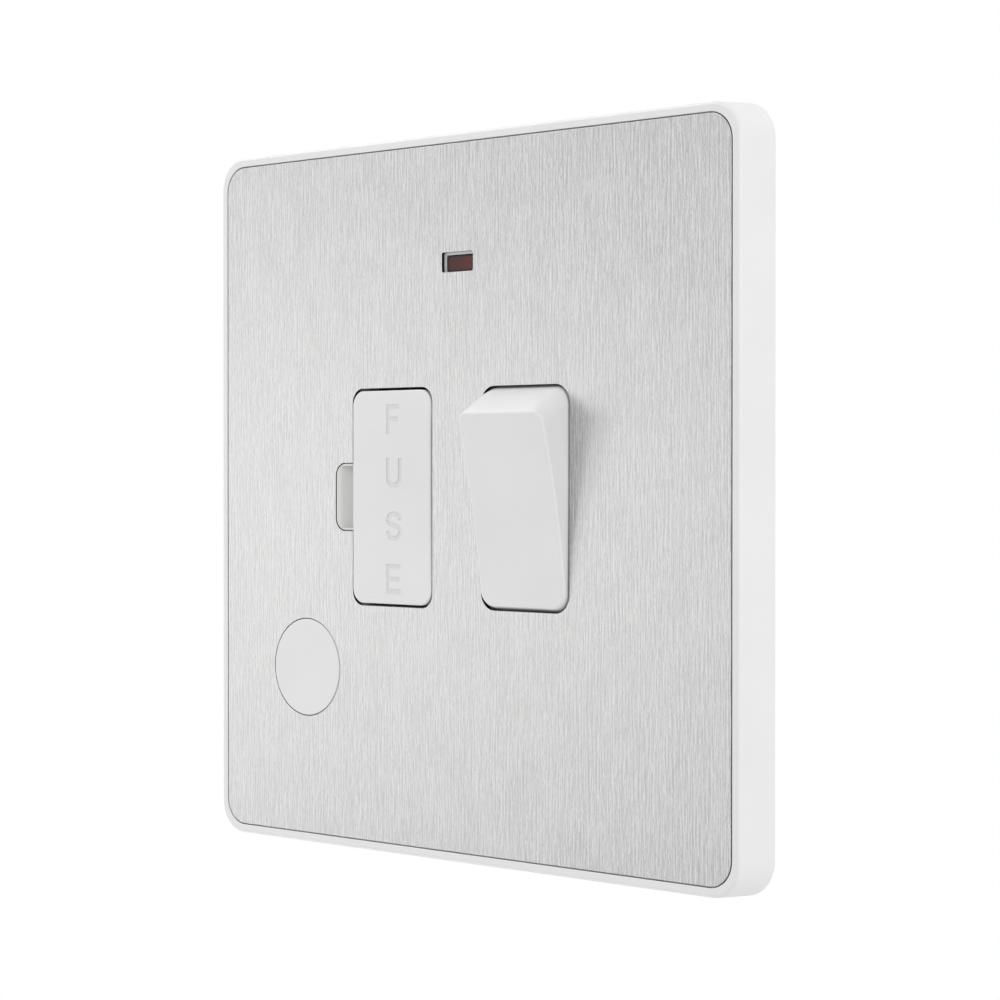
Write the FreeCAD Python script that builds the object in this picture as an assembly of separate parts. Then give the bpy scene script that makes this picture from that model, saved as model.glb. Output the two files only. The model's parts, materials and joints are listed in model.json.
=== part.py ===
import FreeCAD, Part
import math
import os

# Fused spur unit: a flush wall accessory with a rocker switch, a pull-out fuse
# carrier, a flex outlet with its cap and a neon window, behind a clip-on plate.
# Millimetres. X to the right, Y into the wall, Z up. The origin is on the wall
# plane, midway between the two fixing screws.

# Plate: white moulded rim with a steel insert
plate_size = 95.0
plate_depth = 6.25
plate_corner = 4.3
rim_draft = 0.37
rim_edge_round = 0.45
rim_lip = 1.16
rim_wall = 2.0
web_thickness = 1.8
rim_inner_round = 0.12
steel_thickness = 0.5
steel_below_rim = 0.02
steel_side_gap = 0.13
steel_corner = 3.4
steel_edge_round = 0.12
lever_notch_width = 9.0
lever_notch_height = 1.4

# Clips of the plate
clip_edge = 4.4
clip_z = 29.0
clip_width = 7.0
clip_thickness = 1.2
clip_hook = 0.5
clip_hook_height = 1.0
clip_hook_lead = 0.3
clip_clearance = 0.05
clip_slot_gap = 0.2

# Rocker
rocker_x = 12.18
rocker_width = 15.24
rocker_end_radius = 15.0
rocker_pivot_depth = 5.43
rocker_tilt = 10.35
rocker_crest_proud = 2.8
rocker_dish = 0.6
rocker_side_draft = 3.5
rocker_skirt_depth = 8.45
rocker_wall = 1.4
rocker_corner = 2.2
rocker_upper_corner = 1.2
rocker_corner_growth = 4
rocker_inner_corner = 0.5
rocker_edge_round = 0.4
rocker_web = 1.2
rocker_web_depth = 2.2
rocker_side_gap = 0.21
rocker_well_side_gap = 0.31
rocker_end_gap = 0.28
rocker_well_end_gap = 0.35
trunnion_radius = 1.5
trunnion_length = 1.35
trunnion_clearance = 0.05
cheek_depth = 2.2
cheek_width = 3.0

# Fuse carrier, and the fuse in it
carrier_x = -12.35
carrier_width = 15.1
carrier_end_room = 1.55
carrier_corner = 2.0
carrier_edge_round = 0.22
carrier_face_proud = 0.18
carrier_face_thickness = 2.0
carrier_skirt_depth = 4.2
carrier_skirt_wall = 1.1
carrier_side_gap = 0.17
carrier_end_gap = 0.36
carrier_travel = 17.0
leg_floor_gap = 3.0
leg_side_gap = 0.05
leg_width = 2.6
leg_thickness = 1.2
leg_hook = 0.8
leg_hook_length = 1.9
leg_hook_lead = 0.5
leg_hook_slope = 0.3
lever_slot_depth = 0.7
lever_slot_start = 1.5
lever_slot_width = 1.6
lever_slot_inset = 0.8
fuse_radius = 3.15
fuse_length = 25.4
fuse_cap_length = 6.0
fuse_barrel_inset = 0.2
fuse_cap_wall = 0.4
fuse_cap_round = 0.35
fuse_side_room = 0.15
fuse_end_room = 0.1
fuse_cap_room = 0.3
fuse_face_gap = 0.3
saddle_clip_gap = 2.1
saddle_thickness = 1.4
saddle_clearance = 0.06
saddle_arm = 1.2
saddle_grip = 1.0

# Notch beside the carrier, for a screwdriver
notch_reach = 3.42
notch_height = 9.23
notch_corner = 1.8
notch_side_gap = 0.12
notch_edge_round = 0.12
notch_lip = 0.3
notch_flat = 0.75
notch_slope = 36.0
notch_blend = 1.0

# Flex outlet and its cap
flex_beside_housing = 6.37
flex_z = -23.44
cap_radius = 6.62
cap_face_proud = 0.12
cap_side_gap = 0.13
cap_thickness = 1.15
cap_skirt_length = 2.3
cap_skirt_wall = 1.0
cap_skirt_gap = 0.12
cap_edge_round = 0.18
cap_slit_start = 0.3
cap_slit_width = 1.2
flex_bore_radius = 5.7
flex_collar_wall = 1.9

# Neon window and lamp
window_x = 0.045
window_z = 30.75
window_width = 5.77
window_height = 2.62
window_corner = 0.3
lens_width = 4.46
lens_height = 1.68
lens_drop = 0.17
lens_recess = 0.55
lens_clearance = 0.28
lens_seat_gap = 0.08
lens_edge_round = 0.12
lens_flange = 1.0
lens_flange_thickness = 0.9
lamp_radius = 2.0
lamp_length = 9.4
lamp_end_round = 1.2
lamp_pocket_gap = 0.45
lamp_pocket_wall = 1.1
lamp_depth = 6.45
resistor_radius = 1.15
resistor_length = 6.4
resistor_end_round = 0.4
resistor_offset = 10.4
lead_radius = 0.25
lead_bend = 0.8
pocket_end_gap = 1.8
pocket_corner = 0.8
lamp_cradle = 1.0
resistor_cradle = 2.0

# Mounting frame behind the plate
frame_side_gap = 1.5
frame_corner = 3.0
frame_depth = 3.4
frame_plate = 2.0
frame_skirt = 1.6
frame_edge_round = 0.5
frame_rib = 1.2
rib_recess = 0.2
rib_gap = 0.3
rib_z = 12.0
rib_left_x = -9.0
rib_right_x = 24.5
well_wall = 1.3
well_rise_gap = 0.15
well_side_gap = 0.3

# Fixing screws
fixing_centres = 60.3
fixing_slot_width = 4.0
fixing_slot_length = 8.0
fixing_seat = 1.5
fixing_seat_border = 2.2
fixing_head_radius = 3.3
fixing_head_height = 1.8
fixing_head_gap = 0.7
fixing_thread_radius = 1.75
fixing_shank_radius = 1.4
fixing_shank_end = 0.1
fixing_length = 20.0
screw_slot_width = 0.9
screw_slot_depth = 0.8

# Rear housing
chamber_side_gap = 0.19
chamber_fit_gap = 0.09
chamber_rocker_gap = 0.9
chamber_wall = 1.4
chamber_corner = 2.0
housing_depth = 22.5
housing_floor = 1.5
housing_edge_round = 0.8
deck_y = 10.0
deck_wall = 1.5
deck_corner = 1.0
deck_root = 1.2
deck_top_border = 0.8
deck_bottom_border = 4.5
barrier_height = 9.0
barrier_wall = 1.2
barrier_inset = 2.5
partition_setback = 3.0
partition_gap = 0.6
wall_slot_gap = 0.3
post_half = 2.0
post_thickness = 1.4
post_under_contact_z = 11.5
post_under_neutral_z = 8.3
post_under_load_z = 11.3
housing_screw_x = -0.23
housing_screw_z = 12.6
housing_screw_radius = 1.45
housing_screw_length = 12.0
housing_screw_head_radius = 2.7
housing_screw_head_height = 1.6
housing_screw_recess = 0.6
housing_screw_spare = 1.0
screw_hole_gap = 0.2
screw_clearance = 0.05
boss_radius = 2.5

# Terminals
terminal_width = 6.6
terminal_height = 7.5
terminal_length = 8.0
terminal_gap = 0.6
terminal_side_gap = 0.1
terminal_bore_radius = 1.9
terminal_bore_length = 6.4
terminal_bore_floor = 0.5
terminal_screw_radius = 1.75
terminal_screw_head_radius = 2.6
terminal_screw_head_height = 1.8
terminal_screw_back_off = 0.15
terminal_screw_length = 4.9
terminal_edge_round = 0.4
earth_x = 2.0

# Switch mechanism: two see-saw contacts side by side
pole_spacing = 8.2
blade_width = 5.0
blade_thickness = 0.8
blade_half_length = 8.5
blade_tilt = 12.0
blade_back_y = 10.0
contact_radius = 1.5
contact_height = 0.5
contact_z = 7.2
contact_gap = 0.1
fulcrum_radius = 0.8
fulcrum_gap = 0.1
strip_thickness = 0.8
strip_width = 5.0
strip_corner = 0.8
strip_lap = 1.0
strip_y = 13.3
tab_length = 4.4
plunger_reach = 8.9
plunger_tip_radius = 1.0
plunger_radius = 1.3
plunger_length = 6.6
plunger_flange = 0.35
plunger_collar = 2.4
plunger_barrel_wall = 0.9
plunger_barrel_end = 5.2
plunger_clearance = 0.1
spring_wire = 0.25
spring_turns = 5
spring_seat = 0.6

# Fuse clips
clip_jaw_gap = 0.05
clip_jaw_thickness = 0.6
clip_jaw_width = 4.4
clip_jaw_inset = 3.1
clip_jaw_front = 2.2
clip_jaw_bend = 1.0
clip_jaw_flare = 0.7
clip_base_gap = 0.35
cross_bar_post = 2.8

# Flex clamp on the housing's side
clamp_bar_thickness = 1.8
clamp_bar_width = 6.0
clamp_bar_y = 12.0
clamp_space = 8.2
clamp_screw_offset = 6.2
clamp_screw_radius = 1.25
clamp_screw_head_radius = 2.2
clamp_screw_head_height = 1.3
clamp_screw_grip = 5.8
clamp_screw_slot = 0.6
clamp_boss_half = 2.5
clamp_boss_length = 6.4
clamp_bore_length = 6.0
clamp_bar_end = 2.4
clamp_ridge = 0.35
clamp_ridge_half = 3.4
clamp_ridge_offset = 1.8

# How far a cutting tool runs past a face, and how far joined blocks run into each other
past = 1.0
bite = 0.2

# Places worked out from the sizes above
front_y = -plate_depth
steel_front = front_y + steel_below_rim
steel_back = steel_front + steel_thickness
web_back = steel_back + web_thickness
well_front = steel_back + well_rise_gap
frame_front = -frame_depth
frame_back = frame_front + frame_plate
pivot_y = front_y + rocker_pivot_depth
rocker_back = front_y + rocker_skirt_depth
rocker_half = rocker_width / 2
rocker_crest = front_y - rocker_crest_proud
rocker_well_half = rocker_half + rocker_well_side_gap
rocker_well_end = rocker_end_radius + rocker_well_end_gap
rocker_cut_half = rocker_half + rocker_side_gap
rocker_cut_end = math.sqrt(rocker_end_radius ** 2 - (pivot_y - steel_back) ** 2) + rocker_end_gap
carrier_front = steel_front - carrier_face_proud
carrier_half = carrier_width / 2
carrier_end = fuse_length / 2 + carrier_end_room
carrier_well_half = carrier_half + carrier_side_gap
carrier_well_end = carrier_end + carrier_end_gap
carrier_floor = carrier_front + carrier_face_thickness
fuse_y = carrier_floor + fuse_face_gap + fuse_radius
leg_end = housing_depth - housing_floor - leg_floor_gap
carrier_ledge = leg_end - leg_hook_length - carrier_travel
notch_left = carrier_x - carrier_well_half - notch_reach
chamber_inner_half_width = (max(rocker_x + rocker_well_half, carrier_well_half - carrier_x)
                            + well_wall + chamber_side_gap)
chamber_half_width = chamber_inner_half_width + chamber_wall
flex_x = -chamber_half_width - flex_beside_housing
cap_front = steel_front - cap_face_proud
cap_seat = cap_front + cap_thickness
lens_front = steel_front + lens_recess
lens_z = window_z - lens_drop
lamp_y = front_y + lamp_depth
pocket_half_height = lamp_radius + lamp_pocket_gap
pocket_left = window_x - lamp_length / 2 - pocket_end_gap
pocket_right = window_x + resistor_offset + resistor_length / 2 + pocket_end_gap
pocket_floor = lamp_y + lamp_radius + lamp_pocket_gap
frame_half = plate_size / 2 - rim_wall - frame_side_gap
clip_x = frame_half - clip_edge
chamber_inner_half_height = max(carrier_well_end + well_wall + chamber_fit_gap,
                                rocker_end_radius + chamber_rocker_gap)
chamber_half_height = chamber_inner_half_height + chamber_wall
chamber_inner_back = housing_depth - housing_floor
cross_bar_y = chamber_inner_back - cross_bar_post - strip_thickness
clip_jaw_z = fuse_length / 2 - clip_jaw_inset
saddle_z = clip_jaw_z - clip_jaw_width / 2 - saddle_thickness / 2 - saddle_clip_gap
see_saw_y = blade_back_y + fulcrum_gap + fulcrum_radius
terminal_z = chamber_half_height + terminal_gap
deck_top_z = terminal_z + terminal_length + deck_top_border
deck_bottom_z = -terminal_z - terminal_length - deck_bottom_border
bore_y = deck_y + terminal_bore_floor + terminal_bore_radius
line_x = rocker_x - pole_spacing / 2
neutral_x = rocker_x + pole_spacing / 2
clamp_bar_x = -chamber_half_width - clamp_space - clamp_bar_thickness


def box(x0, x1, y0, y1, z0, z1):
    return Part.makeBox(x1 - x0, y1 - y0, z1 - z0, FreeCAD.Vector(x0, y0, z0))


def cylinder_y(x, z, radius, y0, y1):
    return Part.makeCylinder(radius, y1 - y0, FreeCAD.Vector(x, y0, z), FreeCAD.Vector(0, 1, 0))


def cylinder_z(x, y, radius, z0, z1):
    return Part.makeCylinder(radius, z1 - z0, FreeCAD.Vector(x, y, z0), FreeCAD.Vector(0, 0, 1))


def cylinder_x(y, z, radius, x0, x1):
    return Part.makeCylinder(radius, x1 - x0, FreeCAD.Vector(x0, y, z), FreeCAD.Vector(1, 0, 0))


def corner_arc(x, z, toward_x, toward_z, radius, y, z_first):
    """A quarter circle at the corner (x, z) of a rectangle that lies towards the two signs."""
    on_x = FreeCAD.Vector(x + toward_x * radius, y, z)
    on_z = FreeCAD.Vector(x, y, z + toward_z * radius)
    k = radius * (1 - math.sqrt(0.5))
    middle = FreeCAD.Vector(x + toward_x * k, y, z + toward_z * k)
    start, end = (on_z, on_x) if z_first else (on_x, on_z)
    return Part.Arc(start, middle, end).toShape()


def rounded_wire(x0, x1, z0, z1, radius, y, upper_radius=None):
    """A rectangle with round corners, in a plane across Y; its upper corners may differ."""
    upper = radius if upper_radius is None else upper_radius
    point = FreeCAD.Vector
    edges = [
        Part.LineSegment(point(x0 + radius, y, z0), point(x1 - radius, y, z0)).toShape(),
        corner_arc(x1, z0, -1, 1, radius, y, False),
        Part.LineSegment(point(x1, y, z0 + radius), point(x1, y, z1 - upper)).toShape(),
        corner_arc(x1, z1, -1, -1, upper, y, True),
        Part.LineSegment(point(x1 - upper, y, z1), point(x0 + upper, y, z1)).toShape(),
        corner_arc(x0, z1, 1, -1, upper, y, False),
        Part.LineSegment(point(x0, y, z1 - upper), point(x0, y, z0 + radius)).toShape(),
        corner_arc(x0, z0, 1, 1, radius, y, True),
    ]
    return Part.Wire(edges)


def rounded_block(x0, x1, y0, y1, z0, z1, radius):
    face = Part.Face(rounded_wire(x0, x1, z0, z1, radius, y0))
    return face.extrude(FreeCAD.Vector(0, y1 - y0, 0))


def square_block(half, radius, y0, y1):
    return rounded_block(-half, half, y0, y1, -half, half, radius)


def slot_block(x0, x1, z, radius, y0, y1):
    """A round-ended slot along X, between two end centres."""
    ends = cylinder_y(x0, z, radius, y0, y1).fuse(cylinder_y(x1, z, radius, y0, y1))
    return ends.fuse(box(x0, x1, y0, y1, z - radius, z + radius)).removeSplitter()


def prism_x(points, x0, x1):
    """A closed outline of (y, z) points, extruded along X."""
    corners = [FreeCAD.Vector(x0, y, z) for y, z in points]
    wire = Part.makePolygon(corners + corners[:1])
    return Part.Face(wire).extrude(FreeCAD.Vector(x1 - x0, 0, 0))


def prism_z(points, z0, z1):
    """A closed outline of (x, y) points, extruded along Z."""
    corners = [FreeCAD.Vector(x, y, z0) for x, y in points]
    wire = Part.makePolygon(corners + corners[:1])
    return Part.Face(wire).extrude(FreeCAD.Vector(0, 0, z1 - z0))


def edges_in_plane(shape, y):
    """The edges that lie in one plane across Y."""
    found = []
    for edge in shape.Edges:
        bounds = edge.BoundBox
        if abs(bounds.YMin - y) < 0.001 and abs(bounds.YMax - y) < 0.001:
            found.append(edge)
    return found


def join(shapes):
    return shapes[0].multiFuse(shapes[1:]).removeSplitter()


def slotted_screw(x, z, y_head, head_radius, head_height, shank_radius, length, facing):
    """A cheese-head screw along Y; facing is -1 where the head faces the room, 1 the wall."""
    inward = -facing
    axis = FreeCAD.Vector(0, inward, 0)
    head = Part.makeCylinder(head_radius, head_height, FreeCAD.Vector(x, y_head, z), axis)
    rim = [edge for edge in edges_in_plane(head, y_head) if edge.Length > head_radius]
    head = head.makeFillet(head_height * 0.3, rim)
    seat = FreeCAD.Vector(x, y_head + inward * head_height, z)
    shank = Part.makeCylinder(shank_radius, length, seat, axis)
    slot_y = sorted((y_head - inward * screw_slot_depth, y_head + inward * screw_slot_depth))
    half = screw_slot_width / 2
    slot = box(x - head_radius - past, x + head_radius + past, slot_y[0], slot_y[1], z - half, z + half)
    return head.fuse(shank).cut(slot).removeSplitter()


# Openings that the steel insert and the plate's web share

def carrier_opening(grow, y0, y1):
    """The carrier's cut-out with the notch at its left side."""
    x0 = carrier_x - carrier_well_half - grow
    x1 = carrier_x + carrier_well_half + grow
    z1 = carrier_well_end + grow
    window = rounded_block(x0, x1, y0, y1, -z1, z1, carrier_corner + grow)
    half = notch_height / 2 + grow
    notch = rounded_block(notch_left - grow, carrier_x, y0, y1, -half, half, notch_corner + grow)
    return window.fuse(notch).removeSplitter()


def rocker_opening(grow, y0, y1):
    x0 = rocker_x - rocker_cut_half - grow
    x1 = rocker_x + rocker_cut_half + grow
    z1 = rocker_cut_end + grow
    return rounded_block(x0, x1, y0, y1, -z1, z1, rocker_corner + rocker_side_gap + grow)


def cap_opening(grow, y0, y1):
    return cylinder_y(flex_x, flex_z, cap_radius + cap_side_gap + grow, y0, y1)


def window_block(width, height, z, y0, y1):
    return rounded_block(window_x - width / 2, window_x + width / 2, y0, y1,
                         z - height / 2, z + height / 2, window_corner)


# Plate

def steel_insert():
    half = plate_size / 2 - rim_lip - steel_side_gap
    sheet = square_block(half, steel_corner, steel_front, steel_back)
    sheet = sheet.makeFillet(steel_edge_round, edges_in_plane(sheet, steel_front))
    low = steel_front - past
    high = steel_back + past
    sheet = sheet.cut(carrier_opening(0, low, high))
    sheet = sheet.cut(rocker_opening(0, low, high))
    sheet = sheet.cut(cap_opening(0, low, high))
    return sheet.cut(window_block(window_width, window_height, window_z, low, high))


def plate_clip(side_x, side_z):
    """A tongue with a hook that snaps behind the mounting frame."""
    x0 = clip_x - clip_thickness / 2
    x1 = clip_x + clip_thickness / 2
    hook_y0 = frame_back + clip_clearance
    hook_y1 = hook_y0 + clip_hook_height
    outline = [(x0, web_back - bite), (x0, hook_y1), (x1, hook_y1),
               (x1 + clip_hook, hook_y0 + clip_hook_lead), (x1 + clip_hook, hook_y0), (x1, hook_y0),
               (x1, web_back - bite)]
    outline = [(side_x * x, y) for x, y in outline]
    z0 = side_z * clip_z - clip_width / 2
    return prism_z(outline, z0, z0 + clip_width)


def fascia_frame():
    half = plate_size / 2
    front = rounded_wire(-half, half, -half, half, plate_corner, front_y)
    rear_half = half + rim_draft
    rear = rounded_wire(-rear_half, rear_half, -rear_half, rear_half, plate_corner + rim_draft, 0)
    shell = Part.makeLoft([front, rear], True, True)
    shell = shell.makeFillet(rim_edge_round, edges_in_plane(shell, front_y))
    inner = half - rim_wall
    shell = shell.cut(square_block(inner, plate_corner - rim_wall, web_back, past))
    recess = half - rim_lip
    shell = shell.cut(square_block(recess, steel_corner + steel_side_gap, front_y - past, steel_back))
    inner_edges = [edge for edge in edges_in_plane(shell, front_y)
                   if max(abs(edge.BoundBox.Center.x), abs(edge.BoundBox.Center.z)) < recess + bite / 2]
    shell = shell.makeFillet(rim_inner_round, inner_edges)
    low = steel_back - past
    high = web_back + past
    clear = well_wall + well_side_gap
    shell = shell.cut(carrier_opening(clear, low, high))
    shell = shell.cut(rocker_well(clear, low, high))
    collar = flex_bore_radius + flex_collar_wall + well_side_gap
    shell = shell.cut(cylinder_y(flex_x, flex_z, collar, low, high))
    lens_gap = 2 * lens_clearance
    shell = shell.cut(window_block(lens_width + lens_gap, lens_height + lens_gap, lens_z, low, high))
    notch_half = lever_notch_width / 2
    shell = shell.cut(box(-notch_half, notch_half, -lever_notch_height, past, -half - past, -inner))
    clips = [plate_clip(side_x, side_z) for side_x in (-1, 1) for side_z in (-1, 1)]
    return join([shell] + clips)


def indicator_lens():
    seat = web_back + lens_seat_gap
    body = window_block(lens_width, lens_height, lens_z, lens_front, seat)
    body = body.makeFillet(lens_edge_round, edges_in_plane(body, lens_front))
    flange = window_block(lens_width + 2 * lens_flange, lens_height + lens_flange, lens_z, seat,
                          seat + lens_flange_thickness)
    return body.fuse(flange).removeSplitter()


# Mounting frame, with the wells of the rocker, the carrier and the flex outlet

def rocker_well(grow, y0, y1):
    """The outline of the rocker's well, grown to its walls or to the web around them."""
    x0 = rocker_x - rocker_well_half - grow
    x1 = rocker_x + rocker_well_half + grow
    z1 = rocker_well_end + grow
    return rounded_block(x0, x1, y0, y1, -z1, z1, rocker_corner + grow)


def rocker_well_walls():
    outer_x = rocker_well_half + well_wall
    front = rocker_well(well_wall, well_front, frame_back)
    cheek_y1 = pivot_y + trunnion_radius + cheek_depth
    cheek_half = trunnion_radius + cheek_width
    left = box(rocker_x - outer_x, rocker_x - rocker_well_half, frame_back, cheek_y1,
               -cheek_half, cheek_half)
    right = box(rocker_x + rocker_well_half, rocker_x + outer_x, frame_back, cheek_y1,
                -cheek_half, cheek_half)
    return join([front, left, right])


def trunnion_bores():
    reach = rocker_well_half + well_wall + past
    return cylinder_x(pivot_y, 0, trunnion_radius + trunnion_clearance,
                      rocker_x - reach, rocker_x + reach)


def carrier_well(grow, y0, y1):
    """The outline of the carrier's well."""
    x0 = carrier_x - carrier_well_half - grow
    x1 = carrier_x + carrier_well_half + grow
    z1 = carrier_well_end + grow
    return rounded_block(x0, x1, y0, y1, -z1, z1, carrier_corner + grow)


def carrier_well_walls():
    """The wall round the carrier and its notch, and the guide behind it."""
    front = carrier_opening(well_wall, well_front, frame_back)
    return front.fuse(carrier_well(well_wall, well_front, carrier_ledge))


def notch_tile():
    """The raised tile that fills the notch, flush with the steel."""
    half = notch_height / 2 - notch_side_gap
    tile = rounded_block(notch_left + notch_side_gap, carrier_x, steel_front, frame_back, -half, half,
                         notch_corner - notch_side_gap)
    return tile.makeFillet(notch_edge_round, edges_in_plane(tile, steel_front))


def notch_ramp():
    """The space over the tile's ramp, which falls from a rounded brow to the carrier's side."""
    angle = math.radians(notch_slope)
    brow = notch_left + notch_side_gap + notch_flat
    start = brow - notch_blend * math.tan(angle / 2)
    end = carrier_x
    point = FreeCAD.Vector
    first = point(start, steel_front, 0)
    middle = point(start + notch_blend * math.sin(angle / 2),
                   steel_front + notch_blend * (1 - math.cos(angle / 2)), 0)
    last = point(start + notch_blend * math.sin(angle), steel_front + notch_blend * (1 - math.cos(angle)), 0)
    foot = point(end, last.y + (end - last.x) * math.tan(angle), 0)
    roof = [point(end, steel_front - past, 0), point(start, steel_front - past, 0)]
    edges = [Part.Arc(first, middle, last).toShape(), Part.LineSegment(last, foot).toShape(),
             Part.LineSegment(foot, roof[0]).toShape(), Part.LineSegment(roof[0], roof[1]).toShape(),
             Part.LineSegment(roof[1], first).toShape()]
    half = notch_height / 2 - notch_side_gap - notch_lip
    face = Part.Face(Part.Wire(edges))
    face.translate(point(0, 0, -half))
    return face.extrude(point(0, 0, 2 * half))


def lamp_pocket(grow):
    z0 = window_z - pocket_half_height - grow
    z1 = window_z + pocket_half_height + grow
    return rounded_block(pocket_left - grow, pocket_right + grow, frame_front - past + grow,
                         pocket_floor + grow, z0, z1, pocket_corner + grow)


def lamp_cradles():
    """Ribs on the pocket's floor that the lamp and the resistor lie on."""
    lamp_ribs = [(window_x + side * lamp_length / 4, lamp_cradle, lamp_radius) for side in (-1, 1)]
    resistor_rib = (window_x + resistor_offset, resistor_cradle, resistor_radius)
    ribs = []
    for x, width, radius in lamp_ribs + [resistor_rib]:
        rib = box(x - width / 2, x + width / 2, lamp_y, pocket_floor + bite,
                  window_z - pocket_half_height, window_z + pocket_half_height)
        ribs.append(rib.cut(cylinder_x(lamp_y, window_z, radius, x - width, x + width)))
    return ribs


def fixing_seat_blocks():
    """The screw seats stand on the wall; their slots run along X."""
    blocks = []
    half_x = fixing_slot_length / 2 + fixing_seat_border
    half_z = fixing_head_radius + fixing_seat_border
    for side in (-1, 1):
        x = side * fixing_centres / 2
        blocks.append(box(x - half_x, x + half_x, frame_front, 0, -half_z, half_z))
    return blocks


def fixing_cuts():
    cuts = []
    run = (fixing_slot_length - fixing_slot_width) / 2
    for side in (-1, 1):
        x = side * fixing_centres / 2
        cuts.append(slot_block(x - run, x + run, 0, fixing_slot_width / 2, frame_front - past, past))
        cuts.append(slot_block(x - run, x + run, 0, fixing_head_radius + fixing_head_gap,
                               frame_front - past, -fixing_seat))
    return cuts


def frame_ribs():
    """Stiffening ribs behind the plate, between the skirt and the housing."""
    inner = frame_half - frame_skirt / 2
    half = frame_rib / 2
    front = frame_back - bite
    ribs = []
    for z in (-rib_z, rib_z):
        for side in (-1, 1):
            x0, x1 = sorted((side * (chamber_half_width + rib_gap), side * inner))
            ribs.append(box(x0, x1, front, -rib_recess, z - half, z + half))
    for x in (rib_left_x, rib_right_x):
        ribs.append(box(x - half, x + half, front, -rib_recess, window_z + pocket_half_height, inner))
        ribs.append(box(x - half, x + half, front, -rib_recess, -inner, deck_bottom_z - rib_gap))
    return ribs


def flex_collar():
    outer = flex_bore_radius + flex_collar_wall
    return cylinder_y(flex_x, flex_z, outer, cap_seat, frame_back)


def flex_passage():
    return cylinder_y(flex_x, flex_z, flex_bore_radius, front_y, past)


def clip_slots():
    slots = []
    half_z = clip_width / 2 + clip_slot_gap
    for side_x in (-1, 1):
        x = side_x * clip_x
        for side_z in (-1, 1):
            z = side_z * clip_z
            half_x = clip_thickness / 2 + clip_slot_gap
            slots.append(box(x - half_x, x + half_x, frame_front - past, frame_back + past,
                             z - half_z, z + half_z))
    return slots


def housing_bosses():
    return [cylinder_y(housing_screw_x, side * housing_screw_z, boss_radius, frame_back - bite,
                       chamber_inner_back) for side in (-1, 1)]


def boss_bores():
    deep = housing_depth - housing_screw_length - housing_screw_spare
    return [cylinder_y(housing_screw_x, side * housing_screw_z, housing_screw_radius + screw_clearance,
                       deep, housing_depth) for side in (-1, 1)]


def mounting_frame():
    plate = square_block(frame_half, frame_corner, frame_front, 0)
    plate = plate.makeFillet(frame_edge_round, edges_in_plane(plate, frame_front))
    hollow = frame_half - frame_skirt
    plate = plate.cut(square_block(hollow, frame_corner - frame_skirt, frame_back, past))
    solids = [plate, rocker_well_walls(), carrier_well_walls(), notch_tile(), flex_collar()]
    solids.append(lamp_pocket(lamp_pocket_wall))
    solids += fixing_seat_blocks()
    solids += frame_ribs()
    solids += housing_bosses()
    body = join(solids)
    cuts = [rocker_well(0, front_y, housing_depth), trunnion_bores()]
    cuts += [carrier_well(0, front_y, housing_depth), notch_ramp()]
    cuts.append(lamp_pocket(0))
    cuts.append(flex_passage())
    cuts += fixing_cuts()
    cuts += clip_slots()
    cuts += boss_bores()
    body = body.cut(cuts)
    body = body.fuse(lamp_cradles()).removeSplitter()
    return body


def fixing_screws():
    screws = []
    for side in (-1, 1):
        x = side * fixing_centres / 2
        screw = slotted_screw(x, 0, -fixing_seat - fixing_head_height, fixing_head_radius,
                              fixing_head_height, fixing_shank_radius, fixing_length, -1)
        thread = cylinder_y(x, 0, fixing_thread_radius, fixing_shank_end, fixing_length - fixing_seat)
        screws.append(screw.fuse(thread).removeSplitter())
    return Part.makeCompound(screws)


# Rear housing

def pole_places():
    """x and side (1 top, -1 bottom) of each terminal."""
    return {
        "line_in_terminal": (line_x, 1),
        "neutral_in_terminal": (neutral_x, 1),
        "line_out_terminal": (carrier_x, -1),
        "earth_terminal": (earth_x, -1),
        "neutral_out_terminal": (neutral_x, -1),
    }


def terminal_deck(x0, x1, z_outer):
    """A hollow shelf beside the chamber, open towards the wall plate."""
    z0, z1 = sorted((z_outer, math.copysign(chamber_half_height - deck_root, z_outer)))
    outer = rounded_block(x0, x1, frame_back, deck_y, z0, z1, deck_corner)
    wall = deck_wall
    inner_z0, inner_z1 = sorted((z_outer - math.copysign(wall, z_outer),
                                 math.copysign(chamber_half_height, z_outer)))
    hollow = box(x0 + wall, x1 - wall, frame_back - past, deck_y - wall, inner_z0, inner_z1)
    return outer.cut(hollow)


def barrier(x, z_outer):
    z0, z1 = sorted((z_outer, math.copysign(chamber_half_height - bite, z_outer)))
    return box(x - barrier_wall / 2, x + barrier_wall / 2, deck_y - bite, deck_y + barrier_height, z0, z1)


def barriers():
    bay = terminal_width / 2 + terminal_side_gap + barrier_wall / 2
    top = [line_x - bay, (line_x + neutral_x) / 2, neutral_x + bay]
    bottom = [carrier_x - bay, carrier_x + bay, earth_x - bay, earth_x + bay,
              neutral_x - bay, neutral_x + bay]
    walls = [barrier(x, deck_top_z) for x in top]
    walls += [barrier(x, deck_bottom_z + barrier_inset) for x in bottom]
    return walls


def wall_slots():
    """Where the contact strips leave the chamber for their terminals."""
    cuts = []
    half = strip_width / 2 + wall_slot_gap
    y0 = strip_y - wall_slot_gap
    y1 = strip_y + strip_thickness + wall_slot_gap
    for name, (x, side) in pole_places().items():
        if name != "earth_terminal":
            z0, z1 = sorted((side * (chamber_inner_half_height - past), side * (chamber_half_height + past)))
            cuts.append(box(x - half, x + half, y0, y1, z0, z1))
    return cuts


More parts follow.
